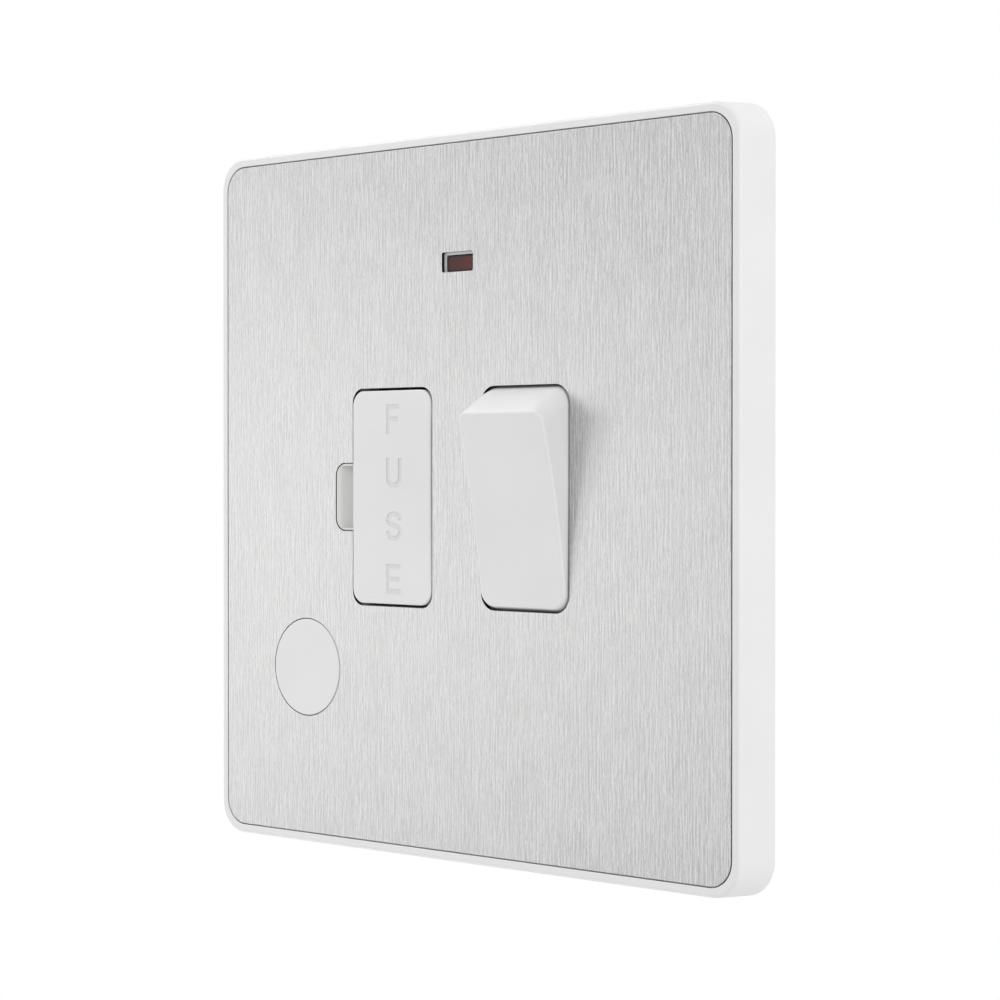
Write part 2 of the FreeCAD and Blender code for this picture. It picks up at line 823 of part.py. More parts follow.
def strip_posts():
    """Ribs from the chamber's floor that the strips and clips rest on."""
    strip_under = strip_y + strip_thickness
    bar_under = cross_bar_y + strip_thickness
    places = [
        (line_x, strip_under, post_under_contact_z),
        (neutral_x, strip_under, post_under_contact_z),
        (neutral_x, strip_under, -post_under_neutral_z),
        (carrier_x, strip_under, -post_under_load_z),
        (carrier_x, bar_under, clip_jaw_z),
        (line_x, bar_under, 0),
    ]
    half = post_thickness / 2
    return [box(x - post_half, x + post_half, y, chamber_inner_back + bite, z - half, z + half)
            for x, y, z in places]


def clamp_bosses():
    """Blocks in the housing's side that take the clamp's screws."""
    blocks = []
    for side in (-1, 1):
        z = flex_z + side * clamp_screw_offset
        blocks.append(box(-chamber_half_width, -chamber_half_width + clamp_boss_length,
                          clamp_bar_y - clamp_boss_half, clamp_bar_y + clamp_boss_half,
                          z - clamp_boss_half, z + clamp_boss_half))
    return blocks


def clamp_bores():
    reach = -chamber_half_width + clamp_bore_length
    return [cylinder_x(clamp_bar_y, flex_z + side * clamp_screw_offset,
                       clamp_screw_radius + screw_clearance, -chamber_half_width - past, reach)
            for side in (-1, 1)]


def partitions():
    """Two walls between the switch's side of the chamber and the fuse's, clear of the cross bar."""
    walls = []
    half = barrier_wall / 2
    for side in (-1, 1):
        z0, z1 = sorted((side * (strip_width / 2 + partition_gap),
                         side * (housing_screw_z - boss_radius - partition_gap)))
        walls.append(box(housing_screw_x - half, housing_screw_x + half, frame_back + partition_setback,
                         chamber_inner_back + bite, z0, z1))
    return walls


def housing_screw_holes():
    holes = []
    for side in (-1, 1):
        z = side * housing_screw_z
        holes.append(cylinder_y(housing_screw_x, z, housing_screw_radius + screw_hole_gap,
                                chamber_inner_back - past, housing_depth + past))
        holes.append(cylinder_y(housing_screw_x, z, housing_screw_head_radius + screw_hole_gap,
                                housing_depth - housing_screw_recess, housing_depth + past))
    return holes


def rear_housing():
    width = chamber_half_width
    height = chamber_half_height
    shell = rounded_block(-width, width, frame_back, housing_depth, -height, height, chamber_corner)
    shell = shell.makeFillet(housing_edge_round, edges_in_plane(shell, housing_depth))
    inner_x = chamber_inner_half_width
    inner_z = chamber_inner_half_height
    hollow = rounded_block(-inner_x, inner_x, frame_back - past, chamber_inner_back, -inner_z, inner_z,
                           chamber_corner - chamber_wall)
    bay = terminal_width / 2 + terminal_side_gap + barrier_wall
    top_deck = terminal_deck(line_x - bay, neutral_x + bay, deck_top_z)
    bottom_deck = terminal_deck(-width, neutral_x + bay, deck_bottom_z)
    side_wall = box(-width, -width + barrier_wall, deck_y - bite, deck_y + barrier_height,
                    deck_bottom_z + barrier_inset, -height + deck_root)
    solids = [shell, top_deck, bottom_deck, side_wall] + barriers() + clamp_bosses()
    body = join(solids)
    body = body.cut([hollow] + wall_slots() + clamp_bores())
    body = body.fuse(partitions() + strip_posts()).removeSplitter()
    return body.cut(housing_screw_holes())


def housing_screws():
    screws = []
    for side in (-1, 1):
        y_head = housing_depth - housing_screw_recess + housing_screw_head_height
        screws.append(slotted_screw(housing_screw_x, side * housing_screw_z, y_head,
                                    housing_screw_head_radius, housing_screw_head_height,
                                    housing_screw_radius, housing_screw_length, 1))
    return Part.makeCompound(screws)


# Terminals and their screws

def terminal(x, side):
    z0, z1 = sorted((side * terminal_z, side * (terminal_z + terminal_length)))
    half = terminal_width / 2
    block = box(x - half, x + half, deck_y, deck_y + terminal_height, z0, z1)
    block = block.makeFillet(terminal_edge_round, edges_in_plane(block, deck_y + terminal_height))
    mouth = side * (terminal_z + terminal_length)
    bore_z = sorted((mouth - side * terminal_bore_length, mouth + side))
    bore = cylinder_z(x, bore_y, terminal_bore_radius, bore_z[0], bore_z[1])
    screw_z = side * (terminal_z + terminal_length - terminal_bore_length / 2)
    thread = cylinder_y(x, screw_z, terminal_screw_radius + screw_clearance, bore_y,
                        deck_y + terminal_height + past)
    return block.cut([bore, thread])


def terminal_screws():
    """Backed off, so that each wire bore is clear."""
    screws = []
    for x, side in pole_places().values():
        z = side * (terminal_z + terminal_length - terminal_bore_length / 2)
        tip = bore_y + terminal_bore_radius + terminal_screw_back_off
        y_head = tip + terminal_screw_length + terminal_screw_head_height
        screws.append(slotted_screw(x, z, y_head, terminal_screw_head_radius,
                                    terminal_screw_head_height, terminal_screw_radius,
                                    terminal_screw_length, 1))
    return Part.makeCompound(screws)


# Switch mechanism

def tilt_see_saw(shape, angle):
    """Turn about the axis of the round bar that the see-saw rocks on."""
    shape.rotate(FreeCAD.Vector(0, see_saw_y, 0), FreeCAD.Vector(1, 0, 0), angle)
    return shape


def moving_contact(x):
    """A see-saw strip with a contact button at its upper end, tilted to ON."""
    half = blade_width / 2
    strip = rounded_block(x - half, x + half, blade_back_y - blade_thickness, blade_back_y,
                          -blade_half_length, blade_half_length, strip_corner)
    button = cylinder_y(x, contact_z, contact_radius, blade_back_y - bite, blade_back_y + contact_height)
    return tilt_see_saw(strip.fuse(button).removeSplitter(), -blade_tilt)


def fixed_contact(x):
    """A contact under the see-saw's upper end, with its strip to the terminal."""
    half = strip_width / 2
    button_y = blade_back_y + contact_height + contact_gap
    tab_y = button_y + contact_height
    tab_z = contact_z - tab_length / 2
    button = cylinder_y(x, contact_z, contact_radius, button_y, tab_y + bite)
    tab = box(x - half, x + half, tab_y, tab_y + strip_thickness, tab_z, tab_z + tab_length + bite)
    raised = tilt_see_saw(button.fuse(tab), -blade_tilt)
    reach = tab_z + tab_length - strip_lap
    strip = box(x - half, x + half, strip_y, strip_y + strip_thickness, reach, terminal_z)
    return raised.fuse(strip).removeSplitter()


def fulcrum(x):
    """A round-topped bracket that the see-saw rocks on."""
    half = strip_width / 2
    bar = cylinder_x(see_saw_y, 0, fulcrum_radius, x - half, x + half)
    leg = box(x - half, x + half, see_saw_y, strip_y + strip_thickness, -fulcrum_radius, fulcrum_radius)
    return bar.fuse(leg).removeSplitter()


def neutral_pivot_bar():
    half = strip_width / 2
    strip = box(neutral_x - half, neutral_x + half, strip_y, strip_y + strip_thickness,
                -terminal_z, fulcrum_radius)
    return fulcrum(neutral_x).fuse(strip).removeSplitter()


def line_pivot_bar():
    """From the line see-saw across to the upper fuse clip."""
    half = strip_width / 2
    thickness = strip_thickness
    drop = box(line_x - half, line_x + half, strip_y, cross_bar_y + thickness,
               -thickness / 2, thickness / 2)
    cross = box(carrier_x - half, line_x + half, cross_bar_y, cross_bar_y + thickness, -half, half)
    rise = box(carrier_x - half, carrier_x + half, cross_bar_y, cross_bar_y + thickness,
               -half, clip_jaw_z - clip_jaw_width / 2)
    return join([fulcrum(line_x), drop, cross, rise])


def rocker_section(y, inset):
    """The rocker's outline in a plane across Y. Its ends are round about the pivot, its sides lean
    in from the steel's level on, and its upper corners sharpen towards the crest."""
    radius = rocker_end_radius - inset
    half_z = math.sqrt(radius ** 2 - (y - pivot_y) ** 2)
    rise = max(steel_back - y, 0)
    half_x = rocker_half - inset - rise * math.tan(math.radians(rocker_side_draft))
    share = min(rise / (steel_back - rocker_crest), 1)
    upper = rocker_corner - share ** rocker_corner_growth * (rocker_corner - rocker_upper_corner)
    lower_corner = max(rocker_corner - inset, rocker_inner_corner)
    upper_corner = max(upper - inset, rocker_inner_corner)
    return rounded_wire(rocker_x - half_x, rocker_x + half_x, -half_z, half_z, lower_corner, y, upper_corner)


def rocker_loft(y0, y1, inset):
    steps = 6
    sections = [rocker_section(y0 + (y1 - y0) * step / steps, inset) for step in range(steps + 1)]
    return Part.makeLoft(sections, True)


def space_before_face(inset):
    """All that lies in front of the dished face, in the rocker's mid position."""
    crest_y = rocker_crest + inset
    crest_z = math.sqrt(rocker_end_radius ** 2 - (pivot_y - rocker_crest) ** 2)
    front = rocker_crest - 2 * past
    slope = 2 * rocker_dish / crest_z * past
    point = FreeCAD.Vector
    end_y = crest_y - slope
    end_z = crest_z + past
    edges = [
        Part.Arc(point(0, end_y, end_z), point(0, crest_y + rocker_dish, 0),
                 point(0, end_y, -end_z)).toShape(),
        Part.LineSegment(point(0, end_y, -end_z), point(0, front, -end_z)).toShape(),
        Part.LineSegment(point(0, front, -end_z), point(0, front, end_z)).toShape(),
        Part.LineSegment(point(0, front, end_z), point(0, end_y, end_z)).toShape(),
    ]
    face = Part.Face(Part.Wire(edges))
    face.translate(point(rocker_x - rocker_width, 0, 0))
    return face.extrude(point(2 * rocker_width, 0, 0))


def rocker_body(inset, back):
    """The rocker's outside, or with an inset its hollow."""
    rear = rocker_loft(back, steel_back, inset)
    front = rocker_loft(steel_back, rocker_crest - past / 2, inset)
    return rear.fuse(front).cut(space_before_face(inset))


def front_edges(shape):
    """The rim of the rocker's dished face."""
    faces = [face for face in shape.Faces if face.BoundBox.ZLength > rocker_end_radius
             and face.BoundBox.XLength > rocker_half and face.CenterOfMass.y < front_y]
    return faces[0].OuterWire.Edges


def tilt_rocker(shape):
    """From the mid position to ON, as the photograph shows it."""
    shape.rotate(FreeCAD.Vector(rocker_x, pivot_y, 0), FreeCAD.Vector(1, 0, 0), rocker_tilt)
    return shape


def plunger_places():
    return (line_x, neutral_x)


def rocker():
    body = rocker_body(0, rocker_back)
    body = body.makeFillet(rocker_edge_round, front_edges(body))
    body = body.cut(rocker_body(rocker_wall, rocker_back + past))
    face_inside = rocker_crest + rocker_dish + rocker_wall
    bore_radius = plunger_radius + plunger_flange + plunger_clearance
    solids = [body]
    for x in plunger_places():
        solids.append(cylinder_y(x, 0, bore_radius + plunger_barrel_wall, face_inside - bite,
                                 plunger_barrel_end))
    web_half = rocker_half - rocker_wall / 2
    solids.append(box(rocker_x - web_half, rocker_x + web_half, face_inside - bite,
                      pivot_y + rocker_web_depth, -rocker_web / 2, rocker_web / 2))
    reach = rocker_half + trunnion_length
    solids.append(cylinder_x(pivot_y, 0, trunnion_radius, rocker_x - reach, rocker_x + reach))
    bores = [cylinder_y(x, 0, bore_radius, face_inside + spring_seat, plunger_barrel_end + past)
             for x in plunger_places()]
    return tilt_rocker(join(solids).cut(bores))


def plunger_top():
    return pivot_y + plunger_reach + plunger_tip_radius - plunger_length


def rocker_plunger(x):
    """A round-nosed pin in the rocker's barrel that drives the see-saw."""
    tip_y = pivot_y + plunger_reach
    pin = cylinder_y(x, 0, plunger_tip_radius, plunger_top(), tip_y)
    nose = Part.makeSphere(plunger_tip_radius, FreeCAD.Vector(x, tip_y, 0))
    collar = cylinder_y(x, 0, plunger_radius + plunger_flange, plunger_top(),
                        plunger_top() + plunger_collar)
    return tilt_rocker(join([pin, nose, collar]))


def plunger_spring(x):
    """A compression spring between the rocker's face and the plunger's collar."""
    start = rocker_crest + rocker_dish + rocker_wall + spring_seat + spring_wire
    end = plunger_top() - spring_wire
    radius = plunger_radius - spring_wire
    pitch = (end - start) / spring_turns
    helix = Part.makeHelix(pitch, end - start, radius)
    section = Part.Wire([Part.Circle(FreeCAD.Vector(radius, 0, 0), FreeCAD.Vector(0, 1, 0),
                                     spring_wire).toShape()])
    coil = Part.Wire(helix.Edges).makePipeShell([section], True, True)
    coil.rotate(FreeCAD.Vector(0, 0, 0), FreeCAD.Vector(1, 0, 0), -90)
    coil.translate(FreeCAD.Vector(x, start, 0))
    return tilt_rocker(coil)


# Fuse carrier and fuse

def carrier_leg(side_x, side_z):
    """A sprung leg whose hook stops the carrier when it is pulled out."""
    x1 = carrier_half - carrier_corner
    x0 = x1 - leg_width
    x0, x1 = sorted((carrier_x + side_x * x0, carrier_x + side_x * x1))
    outer = carrier_end - leg_side_gap
    inner = outer - leg_thickness
    hook = outer + leg_hook
    catch = leg_end - leg_hook_length
    root = carrier_floor - bite
    outline = [(root, outer), (catch, outer), (catch, hook), (leg_end - leg_hook_lead, hook - leg_hook_slope),
               (leg_end, outer - leg_hook_slope), (leg_end, inner), (root, inner)]
    return prism_x([(y, side_z * z) for y, z in outline], x0, x1)


def fuse_saddle(side):
    """A rib that grips the fuse's barrel from the front."""
    z0 = side * saddle_z - saddle_thickness / 2
    half = carrier_half - carrier_skirt_wall / 2
    rib = box(carrier_x - half, carrier_x + half, carrier_floor - bite,
              carrier_front + carrier_skirt_depth, z0, z0 + saddle_thickness)
    grip_radius = fuse_radius - fuse_barrel_inset + saddle_clearance
    arm = grip_radius + saddle_arm
    grip = box(carrier_x - arm, carrier_x + arm, carrier_floor, fuse_y + saddle_grip, z0,
               z0 + saddle_thickness)
    bore = cylinder_z(carrier_x, fuse_y, grip_radius, z0 - past, z0 + saddle_thickness + past)
    return rib.fuse(grip).cut(bore)


def fuse_carrier():
    half = carrier_half
    end = carrier_end
    face = rounded_block(carrier_x - half, carrier_x + half, carrier_front,
                         carrier_front + carrier_skirt_depth, -end, end, carrier_corner)
    face = face.makeFillet(carrier_edge_round, edges_in_plane(face, carrier_front))
    wall = carrier_skirt_wall
    hollow = rounded_block(carrier_x - half + wall, carrier_x + half - wall, carrier_floor,
                           carrier_front + carrier_skirt_depth + past, -end + wall, end - wall,
                           carrier_corner - wall)
    slot_half = notch_height / 2 - lever_slot_inset
    slot_y = carrier_front + lever_slot_start
    lever_slot = box(carrier_x - half - past, carrier_x - half + lever_slot_depth, slot_y,
                     slot_y + lever_slot_width, -slot_half, slot_half)
    body = face.cut([hollow, lever_slot])
    legs = [carrier_leg(side_x, side_z) for side_x in (-1, 1) for side_z in (-1, 1)]
    saddles = [fuse_saddle(side) for side in (-1, 1)]
    fuse_room = cylinder_z(carrier_x, fuse_y, fuse_radius + fuse_side_room, -fuse_length / 2 - fuse_end_room,
                           -fuse_length / 2 + fuse_cap_length + fuse_cap_room)
    fuse_room_top = fuse_room.mirror(FreeCAD.Vector(0, 0, 0), FreeCAD.Vector(0, 0, 1))
    return join([body] + legs + saddles).cut([fuse_room, fuse_room_top])


def fuse_barrel():
    half = fuse_length / 2 - fuse_cap_wall
    return cylinder_z(carrier_x, fuse_y, fuse_radius - fuse_barrel_inset, -half, half)


def fuse_caps():
    caps = []
    for side in (-1, 1):
        end = fuse_length / 2
        z0, z1 = sorted((side * end, side * (end - fuse_cap_length)))
        cap = cylinder_z(carrier_x, fuse_y, fuse_radius, z0, z1)
        rim = [edge for edge in cap.Edges if abs(edge.BoundBox.ZMin - side * end) < 0.01
               and abs(edge.BoundBox.ZMax - side * end) < 0.01]
        cap = cap.makeFillet(fuse_cap_round, rim)
        caps.append(cap.cut(fuse_barrel()))
    return Part.makeCompound(caps)


def fuse_clip_jaws(z):
    """Two flared jaws that grip one end cap, on a base behind the fuse."""
    z0 = z - clip_jaw_width / 2
    z1 = z + clip_jaw_width / 2
    inner = fuse_radius + clip_jaw_gap
    outer = inner + clip_jaw_thickness
    base_y = fuse_y + fuse_radius + clip_base_gap
    tip_y = fuse_y - clip_jaw_front
    jaws = []
    for side in (-1, 1):
        bend_y = tip_y + clip_jaw_bend
        outline = [(inner, base_y), (inner, bend_y), (inner + clip_jaw_flare, tip_y),
                   (outer + clip_jaw_flare, tip_y), (outer, bend_y), (outer, base_y)]
        jaws.append(prism_z([(carrier_x + side * x, y) for x, y in outline], z0, z1))
    base = box(carrier_x - outer, carrier_x + outer, base_y, base_y + strip_thickness, z0, z1)
    return join(jaws + [base]), base_y


def fuse_clip_supply():
    """The upper clip, on the bar that comes from the line see-saw."""
    jaws, base_y = fuse_clip_jaws(clip_jaw_z)
    half = strip_width / 2
    z0 = clip_jaw_z - clip_jaw_width / 2
    stem = box(carrier_x - half, carrier_x + half, base_y, cross_bar_y + strip_thickness,
               z0, z0 + strip_thickness)
    foot = box(carrier_x - half, carrier_x + half, cross_bar_y, cross_bar_y + strip_thickness,
               z0, z0 + clip_jaw_width)
    return join([jaws, stem, foot])


def fuse_clip_load():
    """The lower clip, with its strip to the line-out terminal."""
    jaws, base_y = fuse_clip_jaws(-clip_jaw_z)
    half = strip_width / 2
    z1 = -clip_jaw_z + clip_jaw_width / 2
    stem = box(carrier_x - half, carrier_x + half, base_y, strip_y + strip_thickness,
               z1 - strip_thickness, z1)
    strip = box(carrier_x - half, carrier_x + half, strip_y, strip_y + strip_thickness,
                -terminal_z, z1)
    return join([jaws, stem, strip])


# Flex outlet cap and clamp

def flex_cap():
    disc = cylinder_y(flex_x, flex_z, cap_radius, cap_front, cap_seat)
    disc = disc.makeFillet(cap_edge_round, edges_in_plane(disc, cap_front))
    outer = flex_bore_radius - cap_skirt_gap
    skirt_end = cap_seat + cap_skirt_length
    skirt = cylinder_y(flex_x, flex_z, outer, cap_seat - bite, skirt_end)
    bore = cylinder_y(flex_x, flex_z, outer - cap_skirt_wall, cap_seat, skirt_end + past)
    cap = disc.fuse(skirt).cut(bore)
    slits = []
    for angle in (0, 90):
        slit = box(flex_x - cap_radius, flex_x + cap_radius, cap_seat + cap_slit_start, skirt_end + past,
                   flex_z - cap_slit_width / 2, flex_z + cap_slit_width / 2)
        slit.rotate(FreeCAD.Vector(flex_x, 0, flex_z), FreeCAD.Vector(0, 1, 0), angle + 45)
        slits.append(slit)
    return cap.cut(slits).removeSplitter()


def flex_clamp_bar():
    half_y = clamp_bar_width / 2
    reach = clamp_screw_offset + clamp_bar_end
    inner_x = clamp_bar_x + clamp_bar_thickness
    bar = box(clamp_bar_x, inner_x, clamp_bar_y - half_y, clamp_bar_y + half_y,
              flex_z - reach, flex_z + reach)
    ridges = []
    for side in (-1, 1):
        y = clamp_bar_y + side * clamp_ridge_offset
        ridges.append(box(inner_x - bite, inner_x + clamp_ridge, y - clamp_ridge, y + clamp_ridge,
                          flex_z - clamp_ridge_half, flex_z + clamp_ridge_half))
    holes = [cylinder_x(clamp_bar_y, flex_z + side * clamp_screw_offset,
                        clamp_screw_radius + screw_clearance, clamp_bar_x - past, inner_x + past)
             for side in (-1, 1)]
    return join([bar] + ridges).cut(holes)


def clamp_screws():
    screws = []
    for side in (-1, 1):
        z = flex_z + side * clamp_screw_offset
        head_x = clamp_bar_x - clamp_screw_head_height
        head = cylinder_x(clamp_bar_y, z, clamp_screw_head_radius, head_x, clamp_bar_x)
        shank = cylinder_x(clamp_bar_y, z, clamp_screw_radius, clamp_bar_x,
                           -chamber_half_width + clamp_screw_grip)
        slot_reach = clamp_screw_head_radius + past
        slot = box(head_x - past, head_x + clamp_screw_slot, clamp_bar_y - slot_reach,
                   clamp_bar_y + slot_reach, z - screw_slot_width / 2, z + screw_slot_width / 2)
        screws.append(head.fuse(shank).cut(slot).removeSplitter())
    return Part.makeCompound(screws)


# Neon lamp and its resistor

def end_circles(shape):
    """The end edges of a round body that lies along X."""
    return [edge for edge in shape.Edges if edge.BoundBox.XLength < 0.01]


def neon_lamp():
    """A small glass tube with round ends."""
    half = lamp_length / 2
    tube = cylinder_x(lamp_y, window_z, lamp_radius, window_x - half, window_x + half)
    return tube.makeFillet(lamp_end_round, end_circles(tube))


def lamp_resistor():
    """A carbon resistor in line with the lamp, on its own bare leads."""
    centre = window_x + resistor_offset
    half = resistor_length / 2
    body = cylinder_x(lamp_y, window_z, resistor_radius, centre - half, centre + half)
    body = body.makeFillet(resistor_end_round, end_circles(body))
    lead = cylinder_x(lamp_y, window_z, lead_radius, window_x + lamp_length / 2, centre - half + bite)
    tail = cylinder_x(lamp_y, window_z, lead_radius, centre + half - bite, centre + half + lead_bend)
    drop = cylinder_y(centre + half + lead_bend - lead_radius, window_z, lead_radius, lamp_y, pocket_floor)
    return join([body, lead, tail, drop])


def save(node, shape):
    shape.exportStep(os.path.join("parts", node + ".step"))


def main():
    os.makedirs("parts", exist_ok=True)
    save("fascia_frame", fascia_frame())
    save("steel_insert", steel_insert())
    save("indicator_lens", indicator_lens())
    save("mounting_frame", mounting_frame())
    save("fixing_screws", fixing_screws())
    save("rear_housing", rear_housing())
    save("housing_screws", housing_screws())
    for name, (x, side) in pole_places().items():
        save(name, terminal(x, side))
    save("terminal_screws", terminal_screws())
    save("rocker", rocker())
    save("rocker_plungers", Part.makeCompound([rocker_plunger(x) for x in plunger_places()]))
    save("plunger_springs", Part.makeCompound([plunger_spring(x) for x in plunger_places()]))
    save("moving_contact_line", moving_contact(line_x))
    save("moving_contact_neutral", moving_contact(neutral_x))
    save("fixed_contact_line", fixed_contact(line_x))
    save("fixed_contact_neutral", fixed_contact(neutral_x))
    save("line_pivot_bar", line_pivot_bar())
    save("neutral_pivot_bar", neutral_pivot_bar())
    save("fuse_carrier", fuse_carrier())
    save("fuse_barrel", fuse_barrel())
    save("fuse_caps", fuse_caps())
    save("fuse_clip_supply", fuse_clip_supply())
    save("fuse_clip_load", fuse_clip_load())
    save("flex_cap", flex_cap())
    save("flex_clamp_bar", flex_clamp_bar())
    save("clamp_screws", clamp_screws())
    save("neon_lamp", neon_lamp())
    save("lamp_resistor", lamp_resistor())


main()
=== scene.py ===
import json
import math
from collections import namedtuple

import bmesh
import bpy
from mathutils import Matrix, Vector


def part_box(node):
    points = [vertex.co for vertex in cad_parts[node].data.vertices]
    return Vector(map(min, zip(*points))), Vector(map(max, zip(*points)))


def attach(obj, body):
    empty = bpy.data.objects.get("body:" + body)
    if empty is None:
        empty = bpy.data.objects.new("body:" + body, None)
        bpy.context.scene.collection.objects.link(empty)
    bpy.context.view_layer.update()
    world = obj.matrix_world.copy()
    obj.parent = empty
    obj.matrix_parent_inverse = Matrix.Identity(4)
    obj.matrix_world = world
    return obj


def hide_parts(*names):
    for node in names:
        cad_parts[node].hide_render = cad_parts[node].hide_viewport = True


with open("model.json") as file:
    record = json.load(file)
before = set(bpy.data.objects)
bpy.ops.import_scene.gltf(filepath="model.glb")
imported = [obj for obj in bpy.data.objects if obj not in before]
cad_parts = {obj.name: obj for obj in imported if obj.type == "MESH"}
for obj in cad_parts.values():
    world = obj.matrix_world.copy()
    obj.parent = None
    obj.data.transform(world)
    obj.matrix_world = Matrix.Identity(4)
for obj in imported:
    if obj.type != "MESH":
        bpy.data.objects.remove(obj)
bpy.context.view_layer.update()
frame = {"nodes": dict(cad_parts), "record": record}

MM = 0.001
X, Y, Z = range(3)
nodes = frame["nodes"]

# The photograph's view, as measured on the plate's outline: degrees and millimetres
CAMERA_AZIMUTH = 44.463
CAMERA_ELEVATION = 0.567
CAMERA_DISTANCE = 363.35
CAMERA_RIGHT = 1.222
CAMERA_UP = -0.315
SENSOR_WIDTH = 36.0
FOCAL_LENGTH = 99.25
CLIP_START = 5.0

# Light: the even light from all round, and the lamps, in metres and watts, which all face the origin
WORLD_LIGHT = 0.82
Lamp = namedtuple("Lamp", "place width height power")
LAMPS = {
    "key": Lamp((-0.30, -0.55, 0.62), 0.22, 0.22, 0.95),
    "right_fill": Lamp((0.87, -0.10, 0.12), 0.20, 0.50, 2.30),
    "left_strip": Lamp((-0.68, -0.39, 0.00), 0.06, 1.00, 0.65),
    "left_soft": Lamp((-0.56, -0.575, -0.022), 0.20, 0.22, 0.15),
    "top_strip": Lamp((-0.56, -0.08, 0.60), 0.08, 0.40, 1.15),
    "low_strip": Lamp((-0.56, -0.08, -0.58), 0.08, 0.40, 0.80),
    "back_fill": Lamp((0.10, 0.70, 0.30), 0.50, 0.50, 0.80),
}
FLOOR_Z = -0.85
FLOOR_HALF = 4.0
FLOOR_ROUGHNESS = 0.9

# Colours, in linear light
WHITE_RIM = (0.74, 0.74, 0.74)
WHITE_CONTROL = (0.725, 0.725, 0.725)
# The frame's white is darker than the other whites: painted shade for the scoop beside the fuse carrier,
# which is this frame
SHADED_FRAME_WHITE = (0.65, 0.65, 0.645)
WHITE_HOUSING = (0.70, 0.70, 0.685)
STEEL = (0.513, 0.513, 0.5115)
# Painted shade: near-black colour on the steel's cut edges, standing in for the shade in the gaps round the
# cut-outs
STEEL_EDGE_PAINTED_SHADE = (0.030, 0.030, 0.032)
# The lens: shaded and lit copies of its red, painted across it as light and shade, and the painted shade of
# its border
LENS_SHADED_END = (0.052, 0.005, 0.004)
LENS_LIT_END = (0.084, 0.008, 0.007)
LENS_SHADE_COLOUR = (0.010, 0.0012, 0.001)
FLOOR_PALE = (0.85, 0.85, 0.85)
BRASS = (0.66, 0.47, 0.20)
COPPER = (0.66, 0.38, 0.24)
ZINC = (0.50, 0.50, 0.49)
NICKEL = (0.66, 0.65, 0.61)
CERAMIC = (0.74, 0.71, 0.64)
RESISTOR = (0.50, 0.38, 0.25)
GLASS_WARM = (0.90, 0.86, 0.82)
GLASS_CLEAR = (0.97, 0.94, 0.90)

# Most values of a noise lie between these
NOISE_RANGE = (0.3, 0.7)

# Moulded plastic: cells a millimetre of its mottling and its skin, the shades that the mottling runs between,
# and how far the skin shifts its roughness
MOTTLE_CELLS = 0.12
SKIN_CELLS = 3.2
MOTTLE_SHADES = (0.985, 1.015)
SKIN_ROUGHNESS = (-0.04, 0.05)
PLASTIC_IOR = 1.5

# Plain metal and ceramic: the same, and their relief in millimetres
METAL_SHADES = (0.88, 1.08)
METAL_ROUGHNESS = (-0.06, 0.10)
METAL_RELIEF = 0.01
CERAMIC_CELLS = 2.0
CERAMIC_SHADES = (0.94, 1.04)
CERAMIC_ROUGHNESS = (-0.05, 0.08)
CERAMIC_RELIEF = 0.02

# Glass of the lamp
GLASS_CELLS = 0.4
GLASS_ROUGHNESS = (0.04, 0.10)
GLASS_CLEARNESS = 0.85

# Brushing: each layer of scratches has so many cells a millimetre across and along, a start of its own in
# the noise, and a weight
Scratch = namedtuple("Scratch", "across along start weight")
SCRATCHES = (
    Scratch(across=3.7, along=0.46, start=0.0, weight=1.0),
    Scratch(across=2.8, along=0.20, start=40.0, weight=0.8),
    Scratch(across=3.9, along=0.85, start=70.0, weight=0.8),
    Scratch(across=10.0, along=3.5, start=90.0, weight=0.8),
)
# Along a scratch its line drifts more slowly, and its strength fades faster, than its layer's cells change
SCRATCH_DRIFT = 0.5
SCRATCH_FADE = 1.7
# How far apart the two heights of a slope are read, in millimetres, the slope that gives the full tone, how
# far above and below the steel's own colour that is, and the scratches' relief in millimetres
SCRATCH_STEP = 0.12
SCRATCH_SLOPE = 0.50
STEEL_SPREAD = 0.21
SCRATCH_RELIEF = 0.003
# The sheet's clouds: cells a millimetre on each axis, and how far they shift the tone
STEEL_CLOUD = (0.30, 0.30, 0.12)
CLOUD_SHIFT = 0.08
STEEL_ROUGHNESS = (0.30, 0.44)
STEEL_ANISOTROPY = 0.5
# Painted shade on the sheet's cut edges, near black, fading out towards the brushed face: how squarely the
# surface faces forward
EDGE_SHADE_FACING = (0.25, 0.70)

# Lens, in millimetres: how much wider its front is finished on each side, the width of the painted shade at
# its border, how thick its flange is, and the slack within which a point counts as the front's
LENS_GROW = 0.22
LENS_SHADE_WIDTH = 0.23
LENS_FLANGE = 0.9
LENS_SLACK = 0.05
LENS_CELLS = 0.5
LENS_ROUGHNESS = (0.34, 0.44)
LENS_IOR = 1.49
LENS_SPECULAR = 0.36
# Where the painted light turns the lens from shaded dark to lit red, as shares of its width, and how far its
# mottling shifts that
LENS_TURN = (0.40, 0.80)
LENS_MOTTLE = 0.1

# Letters sunk in the front of the fuse carrier, in millimetres
LETTER_LEFT = -13.32
LETTER_HEIGHT = 4.0
LETTER_STROKE = 0.70
LETTER_DEPTH = 0.11
LETTER_DRAFT = 0.05
LETTER_FEET = {"F": 8.40, "U": 1.24, "S": -5.86, "E": -12.92}
LETTER_WIDTH = {"F": 2.5, "U": 3.0, "S": 3.05, "E": 2.8}
# How much shorter a middle arm is, how far a U's bowl rises, how high an S crosses its middle, and the
# degrees by which its ends open and its arcs run on into each other
SHORT_ARM = 0.20
BOWL_RISE = 1.30
S_MIDDLE = 2.12
S_OPEN = 8.0
S_TURN = 52.0
ARC_STEPS = 14
# Painted shade on the letters' floors: their share of the front's colour, and how squarely they face forward
LETTER_PAINTED_SHADE = 0.935
FLOOR_FACING = 0.98

# Meshes: points this near, in millimetres, are one, edges over this many degrees stay sharp, and a face
# that looks forward this squarely is level
JOIN_DISTANCE = 0.0005
SHARP_ANGLE = 28.0
FLAT_NORMAL = 0.9999

